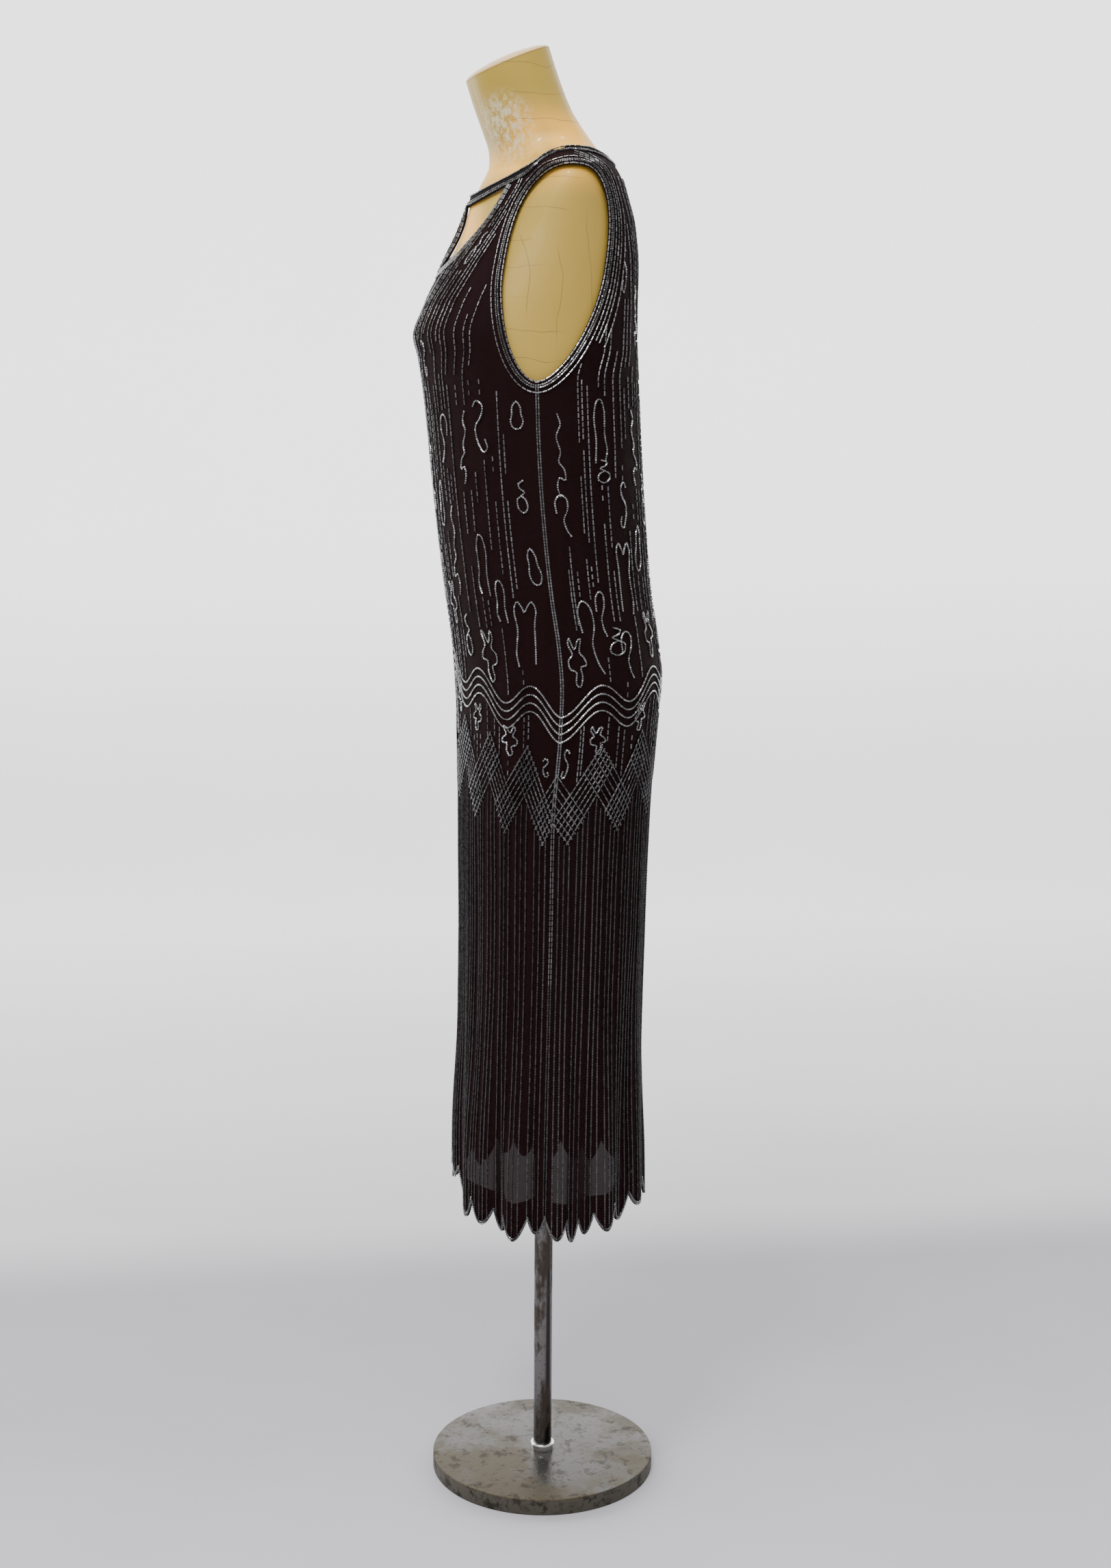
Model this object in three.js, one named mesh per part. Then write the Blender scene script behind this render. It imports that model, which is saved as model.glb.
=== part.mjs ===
// A sleeveless beaded flapper dress standing on a limbless dress form with a pole and a round base.
// Millimetres, +Z up. The front faces -Y and the wearer's left is +X.
// The origin is the centre of the base's underside, on the floor.
import * as THREE from 'three';

// Cloth
const CLOTH = 1.8;
const FACING_CLOTH = 1.0;
const SEAM_GAP = 0.3;
const NECK_SEAM_GAP = 0.5;

// The cloth's outer surface, a row for each level: how far it reaches to the front and the back,
// where its widest point (the side seam) lies, half its width, and how hollow its corners are.
const SECTIONS = [
  { z: 330, front: -112, back: 123, seam: -21, half: 152, hollowFront: -0.05, hollowBack: -0.05 },
  { z: 443, front: -112, back: 121, seam: -20, half: 152, hollowFront: -0.05, hollowBack: -0.05 },
  { z: 585, front: -108, back: 119, seam: -18, half: 154, hollowFront: -0.05, hollowBack: -0.05 },
  { z: 724, front: -106, back: 121, seam: -16, half: 158, hollowFront: -0.05, hollowBack: -0.05 },
  { z: 861, front: -106, back: 125, seam: -15, half: 163, hollowFront: -0.06, hollowBack: -0.05 },
  { z: 962, front: -107, back: 132, seam: -8, half: 168, hollowFront: -0.06, hollowBack: -0.04 },
  { z: 1018, front: -110, back: 137, seam: -6, half: 168, hollowFront: -0.06, hollowBack: -0.04 },
  { z: 1062, front: -114, back: 132, seam: -9, half: 165, hollowFront: -0.06, hollowBack: -0.04 },
  { z: 1127, front: -123, back: 122, seam: -18, half: 160, hollowFront: -0.05, hollowBack: -0.05 },
  { z: 1193, front: -131, back: 116, seam: -25, half: 156, hollowFront: -0.04, hollowBack: -0.06 },
  { z: 1257, front: -138, back: 111, seam: -30, half: 153, hollowFront: -0.03, hollowBack: -0.07 },
  { z: 1322, front: -144, back: 107, seam: -33, half: 151, hollowFront: -0.02, hollowBack: -0.08 },
  { z: 1364, front: -149, back: 105, seam: -34, half: 150, hollowFront: 0, hollowBack: -0.08 },
  { z: 1394, front: -154, back: 103, seam: -31, half: 149, hollowFront: 0, hollowBack: -0.08 },
  { z: 1417, front: -159, back: 102, seam: -27, half: 147, hollowFront: 0, hollowBack: -0.08 },
  { z: 1449, front: -148, back: 102, seam: -20, half: 144, hollowFront: 0.02, hollowBack: -0.07 },
  { z: 1496, front: -127, back: 103, seam: -8, half: 138, hollowFront: 0.08, hollowBack: -0.04 },
  { z: 1542, front: -105, back: 99, seam: 2, half: 133, hollowFront: 0.2, hollowBack: 0 },
  { z: 1580, front: -91, back: 89, seam: 8, half: 131, hollowFront: 0.34, hollowBack: 0.06 },
  { z: 1594, front: -85, back: 85, seam: 9.5, half: 129, hollowFront: 0.4, hollowBack: 0.1 },
  { z: 1603, front: -80, back: 81, seam: 10.5, half: 124, hollowFront: 0.4, hollowBack: 0.12 },
  { z: 1610, front: -77, back: 77, seam: 11.5, half: 110, hollowFront: 0.4, hollowBack: 0.14 },
  { z: 1618, front: -74, back: 71, seam: 13, half: 90, hollowFront: 0.38, hollowBack: 0.14 },
  { z: 1626, front: -73, back: 64, seam: 14, half: 71, hollowFront: 0.34, hollowBack: 0.12 },
  { z: 1636, front: -72, back: 56, seam: 15, half: 58, hollowFront: 0.3, hollowBack: 0.1 },
];
const HOLLOW_DEPTH_SHARE = 0.75;

// Hem: rounded petals. Those with a positive flute stand out on a fold, the others are sunk
// between. Rows run from a panel's centre out to its side seam.
const FRONT_PETALS = [
  { width: 28, tip: 398, notch: 20, flute: 3 },
  { width: 28, tip: 378, notch: 22, flute: -4 },
  { width: 34, tip: 364, notch: 24, flute: 5 },
  { width: 38, tip: 366, notch: 27, flute: 4 },
  { width: 15, tip: 362, notch: 20, flute: -7 },
  { width: 33, tip: 357, notch: 27, flute: 6 },
  { width: 20, tip: 365, notch: 22, flute: -3 },
];
const BACK_PETALS = [
  { width: 32, tip: 362, notch: 24, flute: 4 },
  { width: 33, tip: 360, notch: 24, flute: -4 },
  { width: 43, tip: 374, notch: 26, flute: 5 },
  { width: 30, tip: 364, notch: 24, flute: -5 },
  { width: 34, tip: 360, notch: 27, flute: 6 },
  { width: 18, tip: 359, notch: 21, flute: -4 },
  { width: 17, tip: 350, notch: 23, flute: -6 },
  { width: 28, tip: 358, notch: 26, flute: 5 },
];
const DEEPEST_NOTCH = Math.max(...[...FRONT_PETALS, ...BACK_PETALS].map((petal) => petal.notch));
const PETAL_POINT = 2;
const FAR_SIDE_UNEVEN = 4;
const FLUTE_TOP = 660;
const FLUTE_FULL = 380;
const STEPS_PER_PETAL = 6;
const COARSE_PER_PETAL = 2;
const ABOVE_NOTCH = 5;
const FACING_HEIGHT = 47;
const SKIRT_FINE_LEVELS = [462, 560];
const BODY_LEVELS = [660, 740, 830, 915, 975, 1018, 1062, 1127, 1193, 1257, 1322];

// Armhole: an egg leaning forward at its foot
const ARMHOLE = {
  middle: 1483,
  halfHeight: 119,
  halfBreadth: 57,
  centre: -12,
  lean: 0.185,
  lowerRound: 1.7,
  upperRound: 2.5,
};
const BACK_YOKE_ROWS = 12;
const TOP_REACH = 4;
// The front's rows above the underarm: a stretch of its inner edge, and the armhole's turn at its end
const FRONT_CENTRE_LEVELS = [1392, 1417, 1452, 1490];
const FRONT_YOKE = [
  { rows: FRONT_CENTRE_LEVELS.length, turn: -0.28 },
  { rows: 8, turn: 0.45 },
  { rows: 5, turn: 1 },
];

// Neck: the band's upper edge by angle from the centre front, and the V with its centre strap
const NECKLINE = [
  { angle: 0, top: 1577 },
  { angle: 10, top: 1578 },
  { angle: 21, top: 1582 },
  { angle: 35, top: 1591 },
  { angle: 54, top: 1607 },
  { angle: 65, top: 1618 },
  { angle: 75, top: 1624 },
  { angle: 90, top: 1628 },
  { angle: 120, top: 1628 },
  { angle: 150, top: 1623 },
  { angle: 180, top: 1621 },
];
const V_BOTTOM = FRONT_CENTRE_LEVELS[FRONT_CENTRE_LEVELS.length - 1];
const V_SIDE = [
  { angle: 0, z: V_BOTTOM },
  { angle: 10, z: 1497 },
  { angle: 19.5, z: 1507 },
  { angle: 24.5, z: 1519 },
  { angle: 31, z: 1537 },
  { angle: 36.5, z: 1560 },
];
const BAND_WIDTH = 14;
const BAND_JOIN_ANGLE = 40;
const BAND_FREE_STEPS = 5;
const STRAP_HALF_WIDTH = 4.5;
const STRAP_CLOTH = 2;
const STRAP_ROWS = 9;
const STRAP_TURN = 40;
const STRAP_SINK = 1.5;
const STRAP_FOOT_GAP = 1.8;
const BACK_SHOULDER_STEPS = 4;

// Dress form
const FORM_STEPS = 44;
const FORM_DROP = 3.8;
const FORM_CLEAR = 5.2;
const FORM_LOWER = [
  { z: 880, front: -78, back: 96, seam: 0, half: 132, hollow: -0.05 },
  { z: 892, front: -90, back: 108, seam: 0, half: 146, hollow: -0.05 },
  { z: 930, front: -97, back: 119, seam: 0, half: 156, hollow: -0.05 },
  { z: 1018, front: -103, back: 131, seam: 0, half: 161, hollow: -0.05 },
  { z: 1080, front: -106, back: 120, seam: -2, half: 153, hollow: -0.05 },
  { z: 1140, front: -106, back: 101, seam: -6, half: 133, hollow: -0.04 },
  { z: 1195, front: -107, back: 90, seam: -12, half: 121, hollow: -0.03 },
  { z: 1260, front: -117, back: 89, seam: -20, half: 124, hollow: -0.02 },
  { z: 1320, front: -132, back: 96, seam: -28, half: 138, hollow: -0.01 },
];
const FORM_UPPER_LEVELS = [
  1364, 1394, 1414, 1432, 1455, 1496, 1542, 1572, 1586, 1594, 1600, 1606, 1613, 1620,
];
const NECK = [
  { zFront: 1630, zBack: 1630, front: -70.5, back: 56.5, seam: 4, half: 58 },
  { zFront: 1641, zBack: 1646, front: -75.5, back: 43, seam: -8, half: 55 },
  { zFront: 1657, zBack: 1666, front: -81.5, back: 29, seam: -20, half: 53.5 },
  { zFront: 1676, zBack: 1691, front: -88.5, back: 17, seam: -32, half: 52 },
  { zFront: 1694, zBack: 1720, front: -94.5, back: 6, seam: -42, half: 51.5 },
  { zFront: 1704, zBack: 1744, front: -97.5, back: -2, seam: -48, half: 51 },
];
const NECK_CAP = [
  { share: 0.965, rise: 2.0 },
  { share: 0.8, rise: 5.2 },
  { share: 0.5, rise: 7.8 },
  { share: 0.22, rise: 8.9 },
];

// Stand
const BASE = { radius: 140, height: 20, edge: 2, socketFloor: 6 };
const POLE = { radius: 11.5, top: 960, steps: 24 };
const COLLAR = { radius: 15.5, height: 9, edge: 2.5 };
const FIT_GAP = 0.3;
const ROUND_STEPS = 56;

const RIGHT_ANGLE = Math.PI / 2;
const HALVINGS = 40;
const HEM_SAMPLES = 180;
const BEVEL_SHARE = 0.3;
const UNEVEN_TURN = 2.4;
const FACING_ROWS = 3;
const FACING_DEPTH = CLOTH + SEAM_GAP;
const WINE = 0x23151a;
const BLACK = 0x171014;
const GUNMETAL = 0x2b2426;
const radians = THREE.MathUtils.degToRad;

// A smooth value read from one column of a table, without overshoot between its rows
function readTable(table, key, column, at) {
  const last = table.length - 1;
  const place = THREE.MathUtils.clamp(at, table[0][key], table[last][key]);
  let row = 0;
  while (row < last - 1 && place > table[row + 1][key]) row += 1;
  const step = (i, of) => table[i + 1][of] - table[i][of];
  const rise = (i) => step(i, column) / step(i, key);
  const slope = (i) => {
    if (i === 0) return rise(0);
    if (i === last) return rise(last - 1);
    const before = rise(i - 1);
    const after = rise(i);
    return before * after <= 0 ? 0 : (2 * before * after) / (before + after);
  };
  const span = table[row + 1][key] - table[row][key];
  const t = (place - table[row][key]) / span;
  const t2 = t * t;
  const t3 = t2 * t;
  return (2 * t3 - 3 * t2 + 1) * table[row][column]
    + (t3 - 2 * t2 + t) * span * slope(row)
    + (3 * t2 - 2 * t3) * table[row + 1][column]
    + (t3 - t2) * span * slope(row + 1);
}

function sectionAt(z) {
  const read = (column) => readTable(SECTIONS, 'z', column, z);
  return {
    front: read('front'),
    back: read('back'),
    seam: read('seam'),
    half: read('half'),
    hollowFront: read('hollowFront'),
    hollowBack: read('hollowBack'),
  };
}

// A point of a level section: angle 0 is the centre front, a right angle the wearer's left side
function sectionPoint(section, angle) {
  const sine = Math.sin(angle);
  const cosine = Math.cos(angle);
  const hollow = cosine >= 0 ? section.hollowFront : section.hollowBack;
  const depth = cosine >= 0 ? section.seam - section.front : section.back - section.seam;
  return {
    x: section.half * sine * (1 - hollow * cosine * cosine),
    y: section.seam - depth * cosine * (1 - HOLLOW_DEPTH_SHARE * hollow * sine * sine),
    depth,
  };
}

// Arc length along the hem gives every petal its share of cloth
function hemAngles(petals, fromAngle, toAngle) {
  const section = sectionAt(SECTIONS[0].z);
  const lengths = [0];
  let before = sectionPoint(section, fromAngle);
  for (let i = 1; i <= HEM_SAMPLES; i += 1) {
    const point = sectionPoint(section, fromAngle + ((toAngle - fromAngle) * i) / HEM_SAMPLES);
    lengths.push(lengths[i - 1] + Math.hypot(point.x - before.x, point.y - before.y));
    before = point;
  }
  const whole = petals.reduce((sum, petal) => sum + petal.width, 0);
  const edges = [0];
  petals.forEach((petal, i) => edges.push(edges[i] + petal.width / whole));
  return edges.map((share) => {
    const target = share * lengths[HEM_SAMPLES];
    let i = 1;
    while (i < HEM_SAMPLES && lengths[i] < target) i += 1;
    const part = (target - lengths[i - 1]) / (lengths[i] - lengths[i - 1]);
    return fromAngle + ((toAngle - fromAngle) * (i - 1 + part)) / HEM_SAMPLES;
  });
}

const FRONT_EDGES = hemAngles(FRONT_PETALS, 0, RIGHT_ANGLE);
const BACK_EDGES = hemAngles(BACK_PETALS, Math.PI, RIGHT_ANGLE);

// The petal that an angle falls in, and how far across it, from 0 at one notch to 1 at the next
function petalAt(angle) {
  const turned = Math.abs(Math.atan2(Math.sin(angle), Math.cos(angle)));
  const front = turned <= RIGHT_ANGLE;
  const petals = front ? FRONT_PETALS : BACK_PETALS;
  const edges = front ? FRONT_EDGES : BACK_EDGES;
  const distance = (i) => Math.abs(edges[i] - edges[0]);
  const here = Math.abs(turned - edges[0]);
  let index = 0;
  while (index < petals.length - 1 && here > distance(index + 1)) index += 1;
  const across = (here - distance(index)) / (distance(index + 1) - distance(index));
  return {
    petals,
    index,
    across: THREE.MathUtils.clamp(across, 0, 1),
    farSide: Math.sin(angle) < 0,
  };
}

function petalTip(petals, index, farSide) {
  const uneven = farSide ? FAR_SIDE_UNEVEN * Math.sin(index * UNEVEN_TURN + petals.length) : 0;
  return petals[THREE.MathUtils.clamp(index, 0, petals.length - 1)].tip + uneven;
}

// The petal beside a place: past the side seam it is the other panel's last one,
// and past a panel's centre it is the same petal again
function petalBeside({ petals, index, across }) {
  const next = across >= 0.5 ? index + 1 : index - 1;
  if (next < 0) return { petals, index };
  if (next < petals.length) return { petals, index: next };
  const others = petals === FRONT_PETALS ? BACK_PETALS : FRONT_PETALS;
  return { petals: others, index: others.length - 1 };
}

// The smooth level that the tips hang to, joined from petal centre to petal centre
function hemLevel(angle) {
  const here = petalAt(angle);
  const next = petalBeside(here);
  const tip = ({ petals, index }) => petalTip(petals, index, here.farSide);
  return THREE.MathUtils.lerp(tip(here), tip(next), Math.abs(here.across - 0.5));
}

function hemEdge(angle) {
  const here = petalAt(angle);
  const next = petalBeside(here);
  const share = Math.abs(here.across - 0.5);
  const depth = ({ petals, index }) => petals[index].notch;
  const notch = THREE.MathUtils.lerp(depth(here), depth(next), share);
  return hemLevel(angle) + notch * (2 * share) ** PETAL_POINT;
}

function fluteAt(angle, z) {
  const growth = THREE.MathUtils.smoothstep(FLUTE_TOP - z, 0, FLUTE_TOP - FLUTE_FULL);
  if (growth === 0) return 0;
  const here = petalAt(angle);
  const next = petalBeside(here);
  const share = (1 - Math.cos(Math.PI * (here.across - 0.5))) / 2;
  const size = ({ petals, index }) => petals[index].flute;
  return growth * THREE.MathUtils.lerp(size(here), size(next), share);
}

// The dress's outer surface
function surface(angle, z) {
  const section = sectionAt(z);
  const { x, y, depth } = sectionPoint(section, angle);
  const out = new THREE.Vector2(depth * Math.sin(angle), -section.half * Math.cos(angle));
  out.normalize();
  const flute = fluteAt(angle, z);
  return new THREE.Vector3(x + out.x * flute, y + out.y * flute, z);
}

function surfaceNormal(angle, z) {
  const turn = 0.02;
  const lift = 0.6;
  const across = surface(angle + turn, z).sub(surface(angle - turn, z));
  const upward = surface(angle, z + lift).sub(surface(angle, z - lift));
  return across.cross(upward).normalize();
}

// Angles that keep half a seam's gap on each side of the side and shoulder seams
function frontSeamAngle(z) {
  const section = sectionAt(z);
  return RIGHT_ANGLE - SEAM_GAP / 2 / (section.seam - section.front);
}

function backSeamAngle(z) {
  const section = sectionAt(z);
  return RIGHT_ANGLE + SEAM_GAP / 2 / (section.back - section.seam);
}

// The armhole's edge: turn -1 is the underarm, +1 the shoulder
function armholeEdge(turn, towardBack) {
  const round = turn < 0 ? ARMHOLE.lowerRound : ARMHOLE.upperRound;
  const swing = turn * RIGHT_ANGLE;
  const climb = Math.sin(swing);
  const z = ARMHOLE.middle + ARMHOLE.halfHeight * climb;
  const breadth = ARMHOLE.halfBreadth * (1 - Math.abs(climb) ** round) ** (1 / round);
  const centre = ARMHOLE.centre + ARMHOLE.lean * (z - ARMHOLE.middle);
  const y = towardBack ? centre + breadth : centre - breadth;
  const section = sectionAt(z);
  let near = RIGHT_ANGLE;
  let far = towardBack ? Math.PI : 0;
  for (let i = 0; i < HALVINGS; i += 1) {
    const middle = (near + far) / 2;
    const short = towardBack
      ? sectionPoint(section, middle).y < y
      : sectionPoint(section, middle).y > y;
    if (short) near = middle;
    else far = middle;
  }
  const angle = (near + far) / 2;
  return towardBack
    ? { angle: Math.max(angle, backSeamAngle(z)), z }
    : { angle: Math.min(angle, frontSeamAngle(z)), z };
}

const UNDERARM = ARMHOLE.middle - ARMHOLE.halfHeight;
const SHOULDER_TIP = ARMHOLE.middle + ARMHOLE.halfHeight;

// The neck band's two edges: its lower one lies a band's width down the surface
function bandTop(angle) {
  const turned = Math.abs(Math.atan2(Math.sin(angle), Math.cos(angle)));
  return readTable(NECKLINE, 'angle', 'top', THREE.MathUtils.radToDeg(turned));
}

function bandBottom(angle, width = BAND_WIDTH) {
  const top = bandTop(angle);
  const start = surface(angle, top);
  let high = top;
  let low = top - 2 * width;
  for (let i = 0; i < HALVINGS; i += 1) {
    const middle = (high + low) / 2;
    if (surface(angle, middle).distanceTo(start) < width) high = middle;
    else low = middle;
  }
  return (high + low) / 2;
}

function neckEdge(angle) {
  return bandBottom(angle, BAND_WIDTH + NECK_SEAM_GAP);
}

const V_EDGE = [
  ...V_SIDE,
  { angle: BAND_JOIN_ANGLE, z: neckEdge(radians(BAND_JOIN_ANGLE)) },
];

// The shoulder seam from the neck band out to the armhole
function shoulderSeam(seamAngle, steps) {
  const neckPoint = neckEdge(RIGHT_ANGLE);
  return Array.from({ length: steps + 1 }, (_, i) => {
    const z = THREE.MathUtils.lerp(neckPoint, SHOULDER_TIP, i / steps);
    return { angle: seamAngle(z), z };
  });
}

// A grid of places spread between four edges, its top edge's shape felt only near the top
function spreadRows(bottomRow, topRow, innerEdge, outerEdge) {
  const columns = bottomRow.length - 1;
  const last = innerEdge.length - 1;
  return innerEdge.map((inner, row) => bottomRow.map((bottom, column) => {
    const s = column / columns;
    const t = row / last;
    const blend = (key) => {
      const sides = THREE.MathUtils.lerp(inner[key], outerEdge[row][key], s);
      const bottomLine = THREE.MathUtils.lerp(bottomRow[0][key], bottomRow[columns][key], s);
      const topLine = THREE.MathUtils.lerp(topRow[0][key], topRow[columns][key], s);
      const fromBottom = (1 - t) * (bottom[key] - bottomLine);
      return sides + fromBottom + t ** TOP_REACH * (topRow[column][key] - topLine);
    };
    return { angle: blend('angle'), z: blend('z') };
  }));
}

// The front's inner edge climbs the centre line, one side of the V and the neck band
function frontYoke(underarmRow) {
  const join = radians(BAND_JOIN_ANGLE);
  const topRow = shoulderSeam(frontSeamAngle, underarmRow.length - 1);
  const stretches = [
    (t, row) => ({ angle: 0, z: FRONT_CENTRE_LEVELS[row - 1] }),
    (t) => ({ angle: join * t, z: readTable(V_EDGE, 'angle', 'z', BAND_JOIN_ANGLE * t) }),
    (t) => {
      const angle = THREE.MathUtils.lerp(join, topRow[0].angle, t);
      return { angle, z: neckEdge(angle) };
    },
  ];
  const innerEdge = [underarmRow[0]];
  const outerEdge = [underarmRow[underarmRow.length - 1]];
  let turn = -1;
  FRONT_YOKE.forEach((stretch, i) => {
    for (let row = 1; row <= stretch.rows; row += 1) {
      const t = row / stretch.rows;
      innerEdge.push(stretches[i](t, row));
      outerEdge.push(armholeEdge(THREE.MathUtils.lerp(turn, stretch.turn, t), false));
    }
    turn = stretch.turn;
  });
  return spreadRows(underarmRow, topRow, innerEdge, outerEdge);
}

// The back's top edge runs along the neck band and the shoulder seam
function backYoke(underarmRow) {
  const seam = shoulderSeam(backSeamAngle, BACK_SHOULDER_STEPS);
  const neckSteps = underarmRow.length - 1 - BACK_SHOULDER_STEPS;
  const neck = Array.from({ length: neckSteps }, (_, i) => {
    const angle = THREE.MathUtils.lerp(Math.PI, seam[0].angle, i / neckSteps);
    return { angle, z: neckEdge(angle) };
  });
  const topRow = [...neck, ...seam];
  const rows = Array.from({ length: BACK_YOKE_ROWS + 1 }, (_, row) => row / BACK_YOKE_ROWS);
  const innerEdge = rows.map((t) => (
    { angle: Math.PI, z: THREE.MathUtils.lerp(UNDERARM, topRow[0].z, t) }
  ));
  const outerEdge = rows.map((t) => armholeEdge(2 * t - 1, true));
  outerEdge[0] = underarmRow[underarmRow.length - 1];
  return spreadRows(underarmRow, topRow, innerEdge, outerEdge);
}

// Angles of the columns from a panel's centre line to its side seam
function columnAngles(edges, stepsPerPetal) {
  const angles = [edges[0]];
  for (let i = 1; i < edges.length; i += 1) {
    for (let step = 1; step <= stepsPerPetal; step += 1) {
      angles.push(THREE.MathUtils.lerp(edges[i - 1], edges[i], step / stepsPerPetal));
    }
  }
  return angles;
}

// One half of a panel below the underarm, as rows of places from the hem up
function skirtRows(edges, seamAngle) {
  const row = (angles, levelOf) => angles.map((angle, i) => {
    const z = levelOf(angle);
    return { angle: i === angles.length - 1 ? seamAngle(z) : angle, z };
  });
  const fine = columnAngles(edges, STEPS_PER_PETAL);
  const coarse = columnAngles(edges, COARSE_PER_PETAL);
  const lowest = FRONT_PETALS[FRONT_PETALS.length - 1].tip;
  const settle = (level, i) => (angle) => {
    const keep = 1 - (i + 1) / (SKIRT_FINE_LEVELS.length + 1);
    return level + keep * (hemLevel(angle) - lowest);
  };
  return [
    row(fine, hemEdge),
    row(fine, (angle) => hemLevel(angle) + DEEPEST_NOTCH + ABOVE_NOTCH),
    row(fine, (angle) => hemLevel(angle) + FACING_HEIGHT),
    ...SKIRT_FINE_LEVELS.map((level, i) => row(fine, settle(level, i))),
    ...BODY_LEVELS.map((level) => row(coarse, () => level)),
    row(coarse, () => UNDERARM),
  ];
}

// A half row and its mirror image, in order from left to right seen from outside
function mirrored(row, centre) {
  return row.map(({ angle, z }) => ({ angle: 2 * centre - angle, z })).reverse();
}

function inOrder(row) {
  return row[0].angle < row[row.length - 1].angle ? row : row.slice().reverse();
}

function bothHalves(rows, centre) {
  return rows.map((row) => {
    const halves = [inOrder(row), inOrder(mirrored(row, centre))];
    halves.sort((a, b) => a[0].angle - b[0].angle);
    return [...halves[0].slice(0, -1), ...halves[1]];
  });
}

// Triangles between two rows, the lower of which may have several steps to each of the upper's
function zipRows(lower, upper, add) {
  const ratio = (lower.length - 1) / (upper.length - 1);
  const turnOver = Math.floor(ratio / 2);
  for (let cell = 0; cell < upper.length - 1; cell += 1) {
    const low = (step) => lower[cell * ratio + step];
    for (let step = 0; step < turnOver; step += 1) add(low(step), low(step + 1), upper[cell]);
    add(low(turnOver), upper[cell + 1], upper[cell]);
    for (let step = turnOver; step < ratio; step += 1) {
      add(low(step), low(step + 1), upper[cell + 1]);
    }
  }
}

function meshGeometry(points, triangles) {
  const geometry = new THREE.BufferGeometry();
  const flat = points.flatMap((point) => point.toArray());
  geometry.setAttribute('position', new THREE.Float32BufferAttribute(flat, 3));
  geometry.setIndex(triangles);
  geometry.computeVertexNormals();
  return geometry;
}

// A sheet of cloth: blocks of rows whose shared places are one point, made a closed wall inward
function clothWall(blocks, thickness, inset = 0) {
  const places = [];
  const known = new Map();
  const face = [];
  const indexOf = (place) => {
    const turnedPlace = Math.round(place.angle * 1e7);
    const key = `${turnedPlace} ${Math.round(place.z * 1e4)}`;
    if (!known.has(key)) {
      known.set(key, places.length);
      places.push(place);
    }
    return known.get(key);
  };
  blocks.forEach((rows) => {
    const indexed = rows.map((row) => row.map(indexOf));
    for (let row = 0; row < rows.length - 1; row += 1) {
      zipRows(indexed[row], indexed[row + 1], (a, b, c) => face.push([a, b, c]));
    }
  });
  const layer = (depth) => places.map(({ angle, z }) => (
    surface(angle, z).addScaledVector(surfaceNormal(angle, z), -depth)
  ));
  const points = [...layer(inset), ...layer(inset + thickness)];
  const count = places.length;
  const edges = new Map();
  face.forEach(([a, b, c]) => {
    [[a, b], [b, c], [c, a]].forEach(([from, to]) => edges.set(`${from} ${to}`, [from, to]));
  });
  const triangles = face.flatMap(([a, b, c]) => [a, b, c, a + count, c + count, b + count]);
  edges.forEach(([from, to]) => {
    if (edges.has(`${to} ${from}`)) return;
    triangles.push(to, from, from + count, to, from + count, to + count);
  });
  return meshGeometry(points, triangles);
}

// The neck band follows the panels' own edges, and spans the V in even steps
function bandRows(frontTop, backTop) {
  const join = radians(BAND_JOIN_ANGLE);
  const free = Array.from({ length: BAND_FREE_STEPS }, (_, i) => (join * i) / BAND_FREE_STEPS);
  const half = [...free, ...frontTop, ...backTop.slice().reverse()];
  const otherHalf = half.slice(1, -1).map((angle) => -angle).reverse();
  const angles = [...half, ...otherHalf, half[0]];
  const row = (levelOf) => angles.map((angle) => ({ angle, z: levelOf(angle) }));
  return [row((a) => bandBottom(a)), row((a) => bandBottom(a, BAND_WIDTH / 2)), row(bandTop)];
}

function clothMaterial(color) {
  return new THREE.MeshStandardMaterial({ color, roughness: 0.75, metalness: 0.0 });
}

function middleOf(ring) {
  const sum = ring.reduce((total, point) => total.add(point), new THREE.Vector3());
  return sum.divideScalar(ring.length);
}

// A closed body through rings, each end closed on its middle
function loft(rings) {
  const points = rings.flat();
  const count = rings[0].length;
  const triangles = [];
  for (let ring = 0; ring < rings.length - 1; ring += 1) {
    for (let i = 0; i < count; i += 1) {
      const next = (i + 1) % count;
      const [a, b] = [ring * count + i, ring * count + next];
      triangles.push(a, b, b + count, a, b + count, a + count);
    }
  }
  const closeEnd = (ring, flip) => {
    points.push(middleOf(ring));
    const first = rings.indexOf(ring) * count;
    for (let i = 0; i < count; i += 1) {
      const [a, b] = [first + i, first + ((i + 1) % count)];
      triangles.push(...(flip ? [b, a, points.length - 1] : [a, b, points.length - 1]));
    }
  };
  closeEnd(rings[0], true);
  closeEnd(rings[rings.length - 1], false);
  return meshGeometry(points, triangles);
}

// The centre strap hangs from the band to the foot of the V, its middle turned to the side
function strapGeometry() {
  const foot = V_BOTTOM + STRAP_FOOT_GAP;
  const head = neckEdge(0) - NECK_SEAM_GAP;
  const corners = [[-1, 1], [1, 1], [1, -1], [-1, -1]];
  return loft(Array.from({ length: STRAP_ROWS + 1 }, (_, i) => {
    const t = i / STRAP_ROWS;
    const bow = Math.sin(Math.PI * t);
    const turn = radians(STRAP_TURN) * bow;
    const middle = surface(0, THREE.MathUtils.lerp(foot, head, t));
    middle.y += STRAP_CLOTH / 2 + STRAP_SINK * bow;
    const wide = new THREE.Vector3(Math.cos(turn), Math.sin(turn), 0);
    const outward = new THREE.Vector3(Math.sin(turn), -Math.cos(turn), 0);
    return corners.map(([across, out]) => middle.clone()
      .addScaledVector(wide, across * STRAP_HALF_WIDTH)
      .addScaledVector(outward, (out * STRAP_CLOTH) / 2));
  }));
}

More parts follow.
